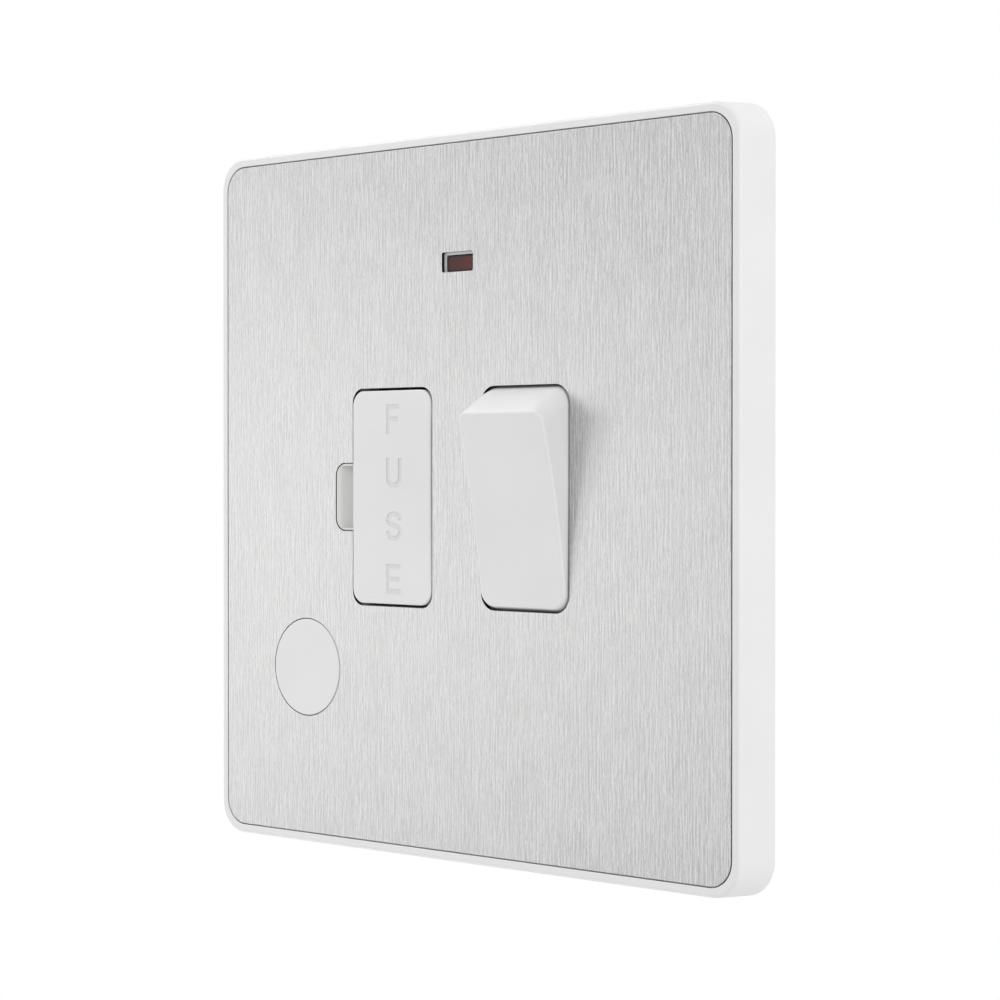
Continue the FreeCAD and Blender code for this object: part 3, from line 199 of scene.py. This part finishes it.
# Threads of the screws that show: the axis along a node's two screws and the one from screw to screw, then
# millimetres: the head's height, the plain shank behind it, root and outer radius, and pitch
Thread = namedtuple("Thread", "along apart head plain root outer pitch")
THREADS = {
    "fixing_screws": Thread(along=Y, apart=X, head=1.8, plain=1.6, root=1.4, outer=1.75, pitch=0.6),
    "clamp_screws": Thread(along=X, apart=Z, head=1.3, plain=1.4, root=1.0, outer=1.25, pitch=0.45),
}
THREAD_SIDES = 36
# How far a shank reaches into its head
THREAD_INSET = 0.3
# One pitch of a thread: how far along it a corner lies, and how far out it stands
THREAD_FORM = ((0.0, 0.0), (0.25, 0.0), (0.56, 1.0), (0.69, 1.0))


# Materials

def new_material(name):
    """A material and its shader, with nothing else in it."""
    material = bpy.data.materials.new(name)
    material.use_nodes = True
    tree = material.node_tree
    shader = tree.nodes["Principled BSDF"]
    return material, tree, shader


def object_mapping(tree, cells):
    """The object's own coordinates, with so many cells a millimetre along each axis."""
    place = tree.nodes.new("ShaderNodeTexCoord")
    mapping = tree.nodes.new("ShaderNodeMapping")
    mapping.inputs["Scale"].default_value = [value / MM for value in cells]
    tree.links.new(place.outputs["Object"], mapping.inputs["Vector"])
    return mapping.outputs["Vector"]


def noise(tree, vector, detail=3.0, roughness=0.5):
    """Noise in space, with one cell to each unit of the vector."""
    texture = tree.nodes.new("ShaderNodeTexNoise")
    texture.inputs["Scale"].default_value = 1.0
    texture.inputs["Detail"].default_value = detail
    texture.inputs["Roughness"].default_value = roughness
    tree.links.new(vector, texture.inputs["Vector"])
    return texture.outputs["Fac"]


def ramp(tree, value, low, high, at_low=NOISE_RANGE[0], at_high=NOISE_RANGE[1]):
    """Two colours or greys, blended by a value."""
    node = tree.nodes.new("ShaderNodeValToRGB")
    ends = node.color_ramp.elements
    ends[0].position = at_low
    ends[1].position = at_high
    ends[0].color = (*low, 1.0)
    ends[1].color = (*high, 1.0)
    tree.links.new(value, node.inputs["Fac"])
    return node.outputs["Color"]


def spread(tree, value, low, high, at_low=0.0, at_high=1.0):
    """A value mapped to a range."""
    node = tree.nodes.new("ShaderNodeMapRange")
    node.inputs["From Min"].default_value = at_low
    node.inputs["From Max"].default_value = at_high
    node.inputs["To Min"].default_value = low
    node.inputs["To Max"].default_value = high
    tree.links.new(value, node.inputs["Value"])
    return node.outputs["Result"]


def step(tree, operation, *values):
    """One step of arithmetic on sockets or plain numbers."""
    node = tree.nodes.new("ShaderNodeMath")
    node.operation = operation
    for socket, value in zip(node.inputs, values):
        if isinstance(value, (int, float)):
            socket.default_value = value
        else:
            tree.links.new(value, socket)
    return node.outputs[0]


def object_place(tree, output="Object"):
    """The X, Y and Z of a point or of its normal, in the object's own frame and metres."""
    place = tree.nodes.new("ShaderNodeTexCoord")
    split = tree.nodes.new("ShaderNodeSeparateXYZ")
    tree.links.new(place.outputs[output], split.inputs[0])
    return split.outputs


def blend_colours(tree, factor, first, second):
    """Two colours, plain or linked, mixed by a factor."""
    node = tree.nodes.new("ShaderNodeMix")
    node.data_type = "RGBA"
    # The colours' sockets go by number, because the node has the same names for every type of data
    tree.links.new(factor, node.inputs["Factor"])
    for socket, colour in zip((node.inputs[6], node.inputs[7]), (first, second)):
        if isinstance(colour, tuple):
            socket.default_value = (*colour, 1.0)
        else:
            tree.links.new(colour, socket)
    return node.outputs[2]


def bump(tree, shader, height, distance, strength):
    """Relief from a height between zero and one, its distance in millimetres."""
    node = tree.nodes.new("ShaderNodeBump")
    node.inputs["Distance"].default_value = distance * MM
    node.inputs["Strength"].default_value = strength
    tree.links.new(height, node.inputs["Height"])
    tree.links.new(node.outputs["Normal"], shader.inputs["Normal"])


def shade(colour, factor):
    """A colour made lighter or darker."""
    return tuple(min(1.0, value * factor) for value in colour)


def vary_finish(tree, shader, value, colour, shades, roughness, shifts):
    """Colour between two shades of it and roughness between two shifts of it, by one noise."""
    dark, bright = (shade(colour, factor) for factor in shades)
    tree.links.new(ramp(tree, value, dark, bright), shader.inputs["Base Color"])
    smooth, rough = (roughness + shift for shift in shifts)
    tree.links.new(spread(tree, value, smooth, rough), shader.inputs["Roughness"])


def moulded_plastic(name, colour, roughness, grain, sunk_below=None):
    """Moulded plastic: faint mottling, a fine skin, a soft sheen, and painted shade on floors below a depth.
    """
    material, tree, shader = new_material(name)
    mottle = noise(tree, object_mapping(tree, (MOTTLE_CELLS,) * 3), detail=2.0)
    dark, bright = (shade(colour, factor) for factor in MOTTLE_SHADES)
    tone = ramp(tree, mottle, dark, bright)
    # Painted shade: level floors below the depth, such as the letters' floors, are darkened
    if sunk_below is not None:
        deep = step(tree, "GREATER_THAN", object_place(tree)["Y"], sunk_below)
        level = step(tree, "LESS_THAN", object_place(tree, "Normal")["Y"], -FLOOR_FACING)
        tone = blend_colours(tree, step(tree, "MULTIPLY", deep, level), tone, shade(colour, LETTER_PAINTED_SHADE))
    tree.links.new(tone, shader.inputs["Base Color"])
    skin = noise(tree, object_mapping(tree, (SKIN_CELLS,) * 3), detail=4.0, roughness=0.6)
    smooth, rough = (roughness + shift for shift in SKIN_ROUGHNESS)
    tree.links.new(spread(tree, skin, smooth, rough), shader.inputs["Roughness"])
    bump(tree, shader, skin, grain, strength=0.5)
    shader.inputs["IOR"].default_value = PLASTIC_IOR
    return material


def streaks(tree, place, across, along, start):
    """Smooth noise on the sheet: so many cells a millimetre across and along."""
    spot = tree.nodes.new("ShaderNodeCombineXYZ")
    tree.links.new(step(tree, "MULTIPLY_ADD", place["X"], across / MM, start), spot.inputs["X"])
    tree.links.new(step(tree, "MULTIPLY", place["Z"], along / MM), spot.inputs["Y"])
    texture = tree.nodes.new("ShaderNodeTexNoise")
    texture.noise_dimensions = "2D"
    texture.inputs["Scale"].default_value = 1.0
    texture.inputs["Detail"].default_value = 0.0
    tree.links.new(spot.outputs[0], texture.inputs["Vector"])
    return texture.outputs["Fac"]


def scratch_layer(tree, layer):
    """The slope of straight scratches, round zero, each of which fades in and out along its length."""
    place = object_place(tree)
    heights = []
    for shift in (0.0, SCRATCH_STEP):
        start = layer.start + shift * layer.across
        heights.append(streaks(tree, place, layer.across, layer.along * SCRATCH_DRIFT, start))
    strength = streaks(tree, place, layer.across, layer.along * SCRATCH_FADE, -layer.start)
    fade = spread(tree, strength, 0.0, 2.0, *NOISE_RANGE)
    return step(tree, "MULTIPLY", step(tree, "SUBTRACT", *heights), fade)


def brushed_steel():
    """Fine vertical brushing, thin short and long scratches, and near-black painted shade on edges round the
    cut-outs.
    """
    material, tree, shader = new_material("brushed_steel")
    slope = 0.0
    for layer in SCRATCHES:
        slope = step(tree, "MULTIPLY_ADD", scratch_layer(tree, layer), layer.weight, slope)
    cloud = noise(tree, object_mapping(tree, STEEL_CLOUD), detail=1.0)
    scratch = step(tree, "ADD", spread(tree, slope, 0.0, 1.0, -SCRATCH_SLOPE, SCRATCH_SLOPE),
                   spread(tree, cloud, -CLOUD_SHIFT, CLOUD_SHIFT, *NOISE_RANGE))
    sheet = ramp(tree, scratch, shade(STEEL, 1 - STEEL_SPREAD), shade(STEEL, 1 + STEEL_SPREAD), 0.0, 1.0)
    # Painted shade: where the sheet faces sideways, at its cut edges, it is coloured near black
    facing = step(tree, "ABSOLUTE", object_place(tree, "Normal")["Y"])
    cut = spread(tree, facing, 1.0, 0.0, *EDGE_SHADE_FACING)
    tree.links.new(blend_colours(tree, cut, sheet, STEEL_EDGE_PAINTED_SHADE), shader.inputs["Base Color"])
    tree.links.new(spread(tree, scratch, *STEEL_ROUGHNESS), shader.inputs["Roughness"])
    bump(tree, shader, scratch, SCRATCH_RELIEF, strength=0.5)
    across = tree.nodes.new("ShaderNodeCombineXYZ")
    across.inputs["X"].default_value = 1.0
    tree.links.new(across.outputs[0], shader.inputs["Tangent"])
    shader.inputs["Anisotropic"].default_value = STEEL_ANISOTROPY
    shader.inputs["Metallic"].default_value = 1.0
    return material


def plain_metal(name, colour, roughness, cells):
    """Pressed, turned or plated metal with a worked surface."""
    material, tree, shader = new_material(name)
    worked = noise(tree, object_mapping(tree, cells))
    vary_finish(tree, shader, worked, colour, METAL_SHADES, roughness, METAL_ROUGHNESS)
    bump(tree, shader, worked, METAL_RELIEF, strength=0.4)
    shader.inputs["Metallic"].default_value = 1.0
    return material


def lens_plastic(middle, half):
    """Dark red clear plastic over an unlit lamp: painted light redder to its right end, a painted shade
    border.
    """
    material, tree, shader = new_material("lens_red")
    place = object_place(tree)
    # Painted light: the lens runs from a shaded dark red at its left end to a lit red at its right
    painted_light = spread(tree, place["X"], 0.0, 1.0, middle.x - half.x, middle.x + half.x)
    cloud = noise(tree, object_mapping(tree, (LENS_CELLS,) * 3), detail=2.0)
    tone = step(tree, "ADD", painted_light, spread(tree, cloud, -LENS_MOTTLE, LENS_MOTTLE))
    face = ramp(tree, tone, LENS_SHADED_END, LENS_LIT_END, *LENS_TURN)
    # Painted shade: a near-black band round the lens's border, standing in for the shade at its edge
    reach = []
    for axis, centre, size in (("X", middle.x, half.x), ("Z", middle.z, half.z)):
        out = step(tree, "ABSOLUTE", step(tree, "SUBTRACT", place[axis], centre))
        reach.append(step(tree, "SUBTRACT", out, size - LENS_SHADE_WIDTH * MM))
    edge = step(tree, "GREATER_THAN", step(tree, "MAXIMUM", *reach), 0.0)
    tree.links.new(blend_colours(tree, edge, face, LENS_SHADE_COLOUR), shader.inputs["Base Color"])
    tree.links.new(spread(tree, cloud, *LENS_ROUGHNESS), shader.inputs["Roughness"])
    shader.inputs["IOR"].default_value = LENS_IOR
    shader.inputs["Specular IOR Level"].default_value = LENS_SPECULAR
    return material


def lamp_glass():
    """Thin clear glass, faintly warm."""
    material, tree, shader = new_material("lamp_glass")
    cloud = noise(tree, object_mapping(tree, (GLASS_CELLS,) * 3), detail=2.0)
    tree.links.new(ramp(tree, cloud, GLASS_WARM, GLASS_CLEAR), shader.inputs["Base Color"])
    tree.links.new(spread(tree, cloud, *GLASS_ROUGHNESS), shader.inputs["Roughness"])
    shader.inputs["Transmission Weight"].default_value = GLASS_CLEARNESS
    return material


def dull_ceramic(name, colour, roughness):
    """Fired or lacquered ceramic with fine specks."""
    material, tree, shader = new_material(name)
    speck = noise(tree, object_mapping(tree, (CERAMIC_CELLS,) * 3), detail=4.0, roughness=0.65)
    vary_finish(tree, shader, speck, colour, CERAMIC_SHADES, roughness, CERAMIC_ROUGHNESS)
    bump(tree, shader, speck, CERAMIC_RELIEF, strength=0.5)
    return material


def make_materials():
    """One material for each of the record's slots, apart from the lens, and one for the engraved carrier."""
    letter_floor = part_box("fuse_carrier")[0][Y] + LETTER_DEPTH / 2 * MM
    return {
        "rim_white": moulded_plastic("rim_white", WHITE_RIM, roughness=0.38, grain=0.004),
        "insert_steel": brushed_steel(),
        "frame_white": moulded_plastic("frame_white", SHADED_FRAME_WHITE, roughness=0.46, grain=0.012),
        "housing_white": moulded_plastic("housing_white", WHITE_HOUSING, roughness=0.50, grain=0.014),
        "control_white": moulded_plastic("control_white", WHITE_CONTROL, roughness=0.40, grain=0.004),
        "engraved_white": moulded_plastic("engraved_white", WHITE_CONTROL, roughness=0.40, grain=0.004,
                                          sunk_below=letter_floor),
        "plated_steel": plain_metal("plated_steel", ZINC, roughness=0.30, cells=(2.6, 2.6, 2.6)),
        "brass": plain_metal("brass", BRASS, roughness=0.34, cells=(1.4, 1.4, 0.4)),
        "copper_strip": plain_metal("copper_strip", COPPER, roughness=0.34, cells=(1.2, 1.2, 0.4)),
        "plunger_brass": plain_metal("plunger_brass", BRASS, roughness=0.26, cells=(0.5, 2.4, 0.5)),
        "spring_steel": plain_metal("spring_steel", ZINC, roughness=0.26, cells=(1.5, 1.5, 1.5)),
        "fuse_ceramic": dull_ceramic("fuse_ceramic", CERAMIC, roughness=0.55),
        "cap_metal": plain_metal("cap_metal", NICKEL, roughness=0.24, cells=(0.6, 0.6, 2.0)),
        "lamp_glass": lamp_glass(),
        "resistor_body": dull_ceramic("resistor_body", RESISTOR, roughness=0.40),
    }


def dress(obj, material):
    """Give an object one material in place of what it has."""
    obj.data.materials.clear()
    obj.data.materials.append(material)


def dress_nodes(materials):
    """Give each node the material of its slot in the record."""
    slots = {entry["node"]: entry["material_slot"] for entry in frame["record"]["subparts"]}
    for name, obj in nodes.items():
        if slots[name] in materials:
            dress(obj, materials[slots[name]])


def welded_copy(node, name):
    """A new object with a node's mesh, its split corners joined."""
    piece = bpy.data.objects.new(name, nodes[node].data.copy())
    bpy.context.scene.collection.objects.link(piece)
    shape = bmesh.new()
    shape.from_mesh(piece.data)
    bmesh.ops.remove_doubles(shape, verts=shape.verts, dist=JOIN_DISTANCE * MM)
    shape.to_mesh(piece.data)
    shape.free()
    return piece


# Lens

def widen_front(mesh, low, high):
    """Grow the lens's front on all four sides but not its flange, and give half the front's new size."""
    middle = (low + high) / 2
    seat = high.y - LENS_FLANGE * MM
    front = [vertex for vertex in mesh.vertices if vertex.co.y < (low.y + seat) / 2]
    half = Vector([max(abs(vertex.co[axis] - middle[axis]) for vertex in front) for axis in (X, Y, Z)])
    for vertex in mesh.vertices:
        out = vertex.co - middle
        before_seat = vertex.co.y < seat + LENS_GROW * MM / 2
        if before_seat and all(abs(out[axis]) < half[axis] + LENS_SLACK * MM for axis in (X, Z)):
            for axis in (X, Z):
                if abs(out[axis]) > half[axis] / 2:
                    vertex.co[axis] += math.copysign(LENS_GROW * MM, out[axis])
    return half + Vector((LENS_GROW, 0.0, LENS_GROW)) * MM


def finished_lens():
    """The neon's lens with its front finished nearly as wide as its opening, and painted shade round its
    border.
    """
    lens = welded_copy("indicator_lens", "indicator_lens_shade_bordered")
    low, high = (Vector(corner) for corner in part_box("indicator_lens"))
    half = widen_front(lens.data, low, high)
    mark_sharp(lens.data)
    dress(lens, lens_plastic((low + high) / 2, half))
    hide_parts("indicator_lens")
    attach(lens, "fascia")


# Letters

def arc(centre_x, centre_z, radius_x, radius_z, first, last):
    """Points on an ellipse's arc, from one angle in degrees to another."""
    points = []
    for index in range(ARC_STEPS + 1):
        angle = math.radians(first + (last - first) * index / ARC_STEPS)
        points.append((centre_x + radius_x * math.cos(angle), centre_z + radius_z * math.sin(angle)))
    return points


def letter_path(letter):
    """The middle line of a letter drawn with one stroke, from its lower left corner."""
    half = LETTER_STROKE / 2
    middle = LETTER_WIDTH[letter] / 2
    reach = middle - half
    if letter == "U":
        bowl = arc(middle, BOWL_RISE, reach, BOWL_RISE - half, 180, 360)
        return [(half, LETTER_HEIGHT)] + bowl + [(2 * middle - half, LETTER_HEIGHT)]
    upper = (LETTER_HEIGHT - half - S_MIDDLE) / 2
    lower = (S_MIDDLE - half) / 2
    first = arc(middle, S_MIDDLE + upper, reach, upper, -S_OPEN, 180 + S_TURN)
    return first + arc(middle, S_MIDDLE - lower, reach, lower, S_TURN, -180 - S_OPEN)


def letter_comb(letter):
    """The outline of a letter with a spine and level arms."""
    wide = LETTER_WIDTH[letter]
    top = LETTER_HEIGHT - LETTER_STROKE
    middle = (LETTER_HEIGHT - LETTER_STROKE) / 2
    arms = [(middle, wide - SHORT_ARM), (top, wide)]
    if letter == "E":
        arms.insert(0, (0.0, wide))
    outline = [(0.0, 0.0)]
    for foot, reach in arms:
        if foot > 0.0:
            outline.append((LETTER_STROKE, foot))
        outline.extend([(reach, foot), (reach, foot + LETTER_STROKE)])
        if foot < top:
            outline.append((LETTER_STROKE, foot + LETTER_STROKE))
    if letter == "F":
        outline.insert(1, (LETTER_STROKE, 0.0))
    return outline + [(0.0, LETTER_HEIGHT)]


def moved_side(points, distance, closed):
    """The points moved to their right by a distance, with mitred corners."""
    count = len(points)
    moved = []
    for index, point in enumerate(points):
        here = Vector(point)
        before = Vector(points[index - 1]) if closed or index else None
        after = Vector(points[(index + 1) % count]) if closed or index < count - 1 else None
        ways = [(end - start).normalized() for start, end in ((before, here), (here, after))
                if start is not None and end is not None]
        pushes = [Vector((way.y, -way.x)) for way in ways]
        push = sum(pushes, Vector((0.0, 0.0)))
        moved.append(here + push * distance / (push.dot(pushes[0])))
    return moved


def letter_outline(letter, grow):
    """A letter's closed outline, counter-clockwise, grown outwards by a distance."""
    if letter in "FE":
        return moved_side(letter_comb(letter), grow, True)
    path = letter_path(letter)
    half = LETTER_STROKE / 2 + grow
    ends = []
    for tip, inner in ((path[0], path[1]), (path[-1], path[-2])):
        ends.append(Vector(tip) + (Vector(tip) - Vector(inner)).normalized() * grow)
    path = [tuple(ends[0])] + path[1:-1] + [tuple(ends[1])]
    right = moved_side(path, half, False)
    left = moved_side(path, -half, False)
    return right + left[::-1]


def letter_cutter(letter, foot, front):
    """A closed wedge along a letter's outline, wide in front of the face and narrower at its floor."""
    mesh = bpy.data.meshes.new(f"letter_{letter}")
    shape = bmesh.new()
    rings = []
    for y, grow in ((front + LETTER_DEPTH, -LETTER_DRAFT), (front - LETTER_DEPTH, LETTER_DRAFT)):
        rings.append([shape.verts.new(((LETTER_LEFT + x) * MM, y * MM, (foot + z) * MM))
                      for x, z in letter_outline(letter, grow)])
    floor, mouth = rings
    count = len(floor)
    for index in range(count):
        after = (index + 1) % count
        shape.faces.new((floor[index], floor[after], mouth[after], mouth[index]))
    shape.faces.new(floor)
    shape.faces.new(mouth)
    bmesh.ops.recalc_face_normals(shape, faces=shape.faces)
    shape.to_mesh(mesh)
    shape.free()
    cutter = bpy.data.objects.new(f"letter_{letter}", mesh)
    bpy.context.scene.collection.objects.link(cutter)
    return cutter


def finished_mesh(obj, name):
    """The object's mesh with its modifiers applied."""
    graph = bpy.context.evaluated_depsgraph_get()
    mesh = bpy.data.meshes.new_from_object(obj.evaluated_get(graph))
    mesh.name = name
    obj.modifiers.clear()
    return mesh


def mark_sharp(mesh):
    """Smooth shading, kept off corners and off the level front and the letters' floors."""
    shape = bmesh.new()
    shape.from_mesh(mesh)
    bmesh.ops.recalc_face_normals(shape, faces=shape.faces)
    for face in shape.faces:
        face.smooth = True
    for edge in shape.edges:
        if len(edge.link_faces) == 2:
            level = [face.normal.y < -FLAT_NORMAL for face in edge.link_faces]
            corner = edge.calc_face_angle() > math.radians(SHARP_ANGLE)
            edge.smooth = not corner and level[0] == level[1]
    shape.to_mesh(mesh)
    shape.free()


def engraved_carrier(material):
    """The fuse carrier with plain letters sunk in its front."""
    carrier = welded_copy("fuse_carrier", "fuse_carrier_engraved")
    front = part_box("fuse_carrier")[0][Y] / MM
    cutters = [letter_cutter(letter, foot, front) for letter, foot in LETTER_FEET.items()]
    for cutter in cutters:
        cut = carrier.modifiers.new(cutter.name, "BOOLEAN")
        cut.operation = "DIFFERENCE"
        cut.solver = "EXACT"
        cut.object = cutter
    carrier.data = finished_mesh(carrier, "fuse_carrier_engraved")
    for cutter in cutters:
        bpy.data.objects.remove(cutter)
    mark_sharp(carrier.data)
    dress(carrier, material)
    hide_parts("fuse_carrier")
    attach(carrier, "fuse_carrier")


# Screws

def thread_rows(thread, length, turn):
    """Distance along and radius of a threaded shank's points at one angle, given as a share of a turn."""
    rows = [(-THREAD_INSET, thread.root)]
    turns = math.ceil((length - thread.plain) / thread.pitch) + 2
    for index in range(turns * len(THREAD_FORM)):
        whole, corner = divmod(index, len(THREAD_FORM))
        share, rise = THREAD_FORM[corner]
        along = thread.plain + thread.pitch * (turn - 1 + whole + share)
        along = min(max(along, thread.plain), length)
        fade = min(1.0, (along - thread.plain) / thread.pitch, (length - along) / thread.pitch)
        rows.append((along, thread.root + (thread.outer - thread.root) * rise * fade))
    return rows


def add_shank(shape, thread, length, place):
    """A closed shank, plain and then threaded, whose rows of points follow the helix."""
    columns = []
    for side in range(THREAD_SIDES + 1):
        turn = side / THREAD_SIDES
        columns.append([shape.verts.new(place(along, radius, math.tau * turn))
                        for along, radius in thread_rows(thread, length, turn)])
    for first, after in zip(columns, columns[1:]):
        for row in range(len(first) - 1):
            shape.faces.new((first[row], first[row + 1], after[row + 1], after[row]))
    for end in (0, -1):
        shape.faces.new([column[end] for column in columns[:-1]])


def threaded_screws(name, material):
    """A node's two screws with their heads as they are and a real thread on each shank."""
    thread = THREADS[name]
    along, apart = thread.along, thread.apart
    other = X + Y + Z - along - apart
    low, high = (Vector(corner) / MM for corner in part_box(name))
    head = (high[other] - low[other]) / 2
    seat = low[along] + thread.head
    screws = welded_copy(name, f"{name}_threaded")
    shape = bmesh.new()
    shape.from_mesh(screws.data)
    shanks = [vertex for vertex in shape.verts if vertex.co[along] > (seat + THREAD_INSET / 2) * MM]
    bmesh.ops.delete(shape, geom=shanks, context="VERTS")
    open_edges = [edge for edge in shape.edges if edge.is_boundary]
    bmesh.ops.holes_fill(shape, edges=open_edges)
    for middle in (low[apart] + head, high[apart] - head):
        def place(distance, radius, angle):
            """A point round the shank's middle line, in metres."""
            spot = [0.0, 0.0, 0.0]
            spot[along] = (seat + distance) * MM
            spot[apart] = (middle + radius * math.cos(angle)) * MM
            spot[other] = (low[other] + head + radius * math.sin(angle)) * MM
            return spot
        add_shank(shape, thread, high[along] - seat, place)
    bmesh.ops.remove_doubles(shape, verts=shape.verts, dist=JOIN_DISTANCE * MM)
    shape.to_mesh(screws.data)
    shape.free()
    mark_sharp(screws.data)
    dress(screws, material)
    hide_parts(name)
    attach(screws, "module")


# Stage, lights and camera

def view_axes():
    """The camera's right, up and back, as unit vectors."""
    azimuth = math.radians(CAMERA_AZIMUTH)
    elevation = math.radians(CAMERA_ELEVATION)
    back = Vector((math.sin(azimuth) * math.cos(elevation), -math.cos(azimuth) * math.cos(elevation),
                   math.sin(elevation)))
    right = (-back).cross(Vector((0, 0, 1))).normalized()
    up = right.cross(-back)
    return right, up, back


def add_camera():
    """The photograph's camera: back along its view by its distance, then moved right and up."""
    right, up, back = view_axes()
    data = bpy.data.cameras.new("camera")
    data.sensor_width = SENSOR_WIDTH
    data.lens = FOCAL_LENGTH
    data.clip_start = CLIP_START * MM
    camera = bpy.data.objects.new("camera", data)
    place = (back * CAMERA_DISTANCE + right * CAMERA_RIGHT + up * CAMERA_UP) * MM
    turn = Matrix((right, up, back)).transposed().to_4x4()
    camera.matrix_world = Matrix.Translation(place) @ turn
    bpy.context.scene.collection.objects.link(camera)
    bpy.context.scene.camera = camera


def add_lamps():
    """Soft rectangular lamps that face the object."""
    for name, lamp in LAMPS.items():
        data = bpy.data.lights.new(name, "AREA")
        data.energy = lamp.power
        data.shape = "RECTANGLE"
        data.size = lamp.width
        data.size_y = lamp.height
        light = bpy.data.objects.new(name, data)
        light.location = lamp.place
        light.rotation_euler = (-Vector(lamp.place)).to_track_quat("-Z", "Y").to_euler()
        bpy.context.scene.collection.objects.link(light)


def background_ray(tree):
    """One where a ray only looks at the background: from the camera, a gloss or a clear piece."""
    rays = tree.nodes.new("ShaderNodeLightPath")
    seen = step(tree, "MAXIMUM", rays.outputs["Is Camera Ray"], rays.outputs["Is Glossy Ray"])
    return step(tree, "MAXIMUM", seen, rays.outputs["Is Transmission Ray"])


def add_world():
    """White to the camera and in reflections; a plain level of light on the object."""
    world = bpy.data.worlds.new("world")
    bpy.context.scene.world = world
    world.use_nodes = True
    tree = world.node_tree
    tree.nodes.clear()
    light = tree.nodes.new("ShaderNodeBackground")
    light.inputs["Color"].default_value = (1, 1, 1, 1)
    light.inputs["Strength"].default_value = WORLD_LIGHT
    white = tree.nodes.new("ShaderNodeBackground")
    white.inputs["Color"].default_value = (1, 1, 1, 1)
    white.inputs["Strength"].default_value = 1.0
    mix = tree.nodes.new("ShaderNodeMixShader")
    out = tree.nodes.new("ShaderNodeOutputWorld")
    tree.links.new(background_ray(tree), mix.inputs["Fac"])
    tree.links.new(light.outputs[0], mix.inputs[1])
    tree.links.new(white.outputs[0], mix.inputs[2])
    tree.links.new(mix.outputs[0], out.inputs["Surface"])


def add_floor():
    """A plain pale floor, white where it is looked at, which lights the object from below."""
    mesh = bpy.data.meshes.new("floor")
    half = FLOOR_HALF
    mesh.from_pydata([(-half, -half, FLOOR_Z), (half, -half, FLOOR_Z), (half, half, FLOOR_Z),
                      (-half, half, FLOOR_Z)], [], [(0, 1, 2, 3)])
    floor = bpy.data.objects.new("floor", mesh)
    bpy.context.scene.collection.objects.link(floor)
    material, tree, shader = new_material("floor_pale")
    shader.inputs["Base Color"].default_value = (*FLOOR_PALE, 1.0)
    shader.inputs["Roughness"].default_value = FLOOR_ROUGHNESS
    white = tree.nodes.new("ShaderNodeEmission")
    mix = tree.nodes.new("ShaderNodeMixShader")
    tree.links.new(background_ray(tree), mix.inputs["Fac"])
    tree.links.new(shader.outputs[0], mix.inputs[1])
    tree.links.new(white.outputs[0], mix.inputs[2])
    tree.links.new(mix.outputs[0], tree.nodes["Material Output"].inputs["Surface"])
    dress(floor, material)


def main():
    """Dress the model, then light it and look at it as the photograph does."""
    bpy.context.scene.view_settings.view_transform = "Standard"
    materials = make_materials()
    dress_nodes(materials)
    finished_lens()
    engraved_carrier(materials["engraved_white"])
    for name in THREADS:
        threaded_screws(name, materials["plated_steel"])
    add_camera()
    add_lamps()
    add_world()
    add_floor()


main()
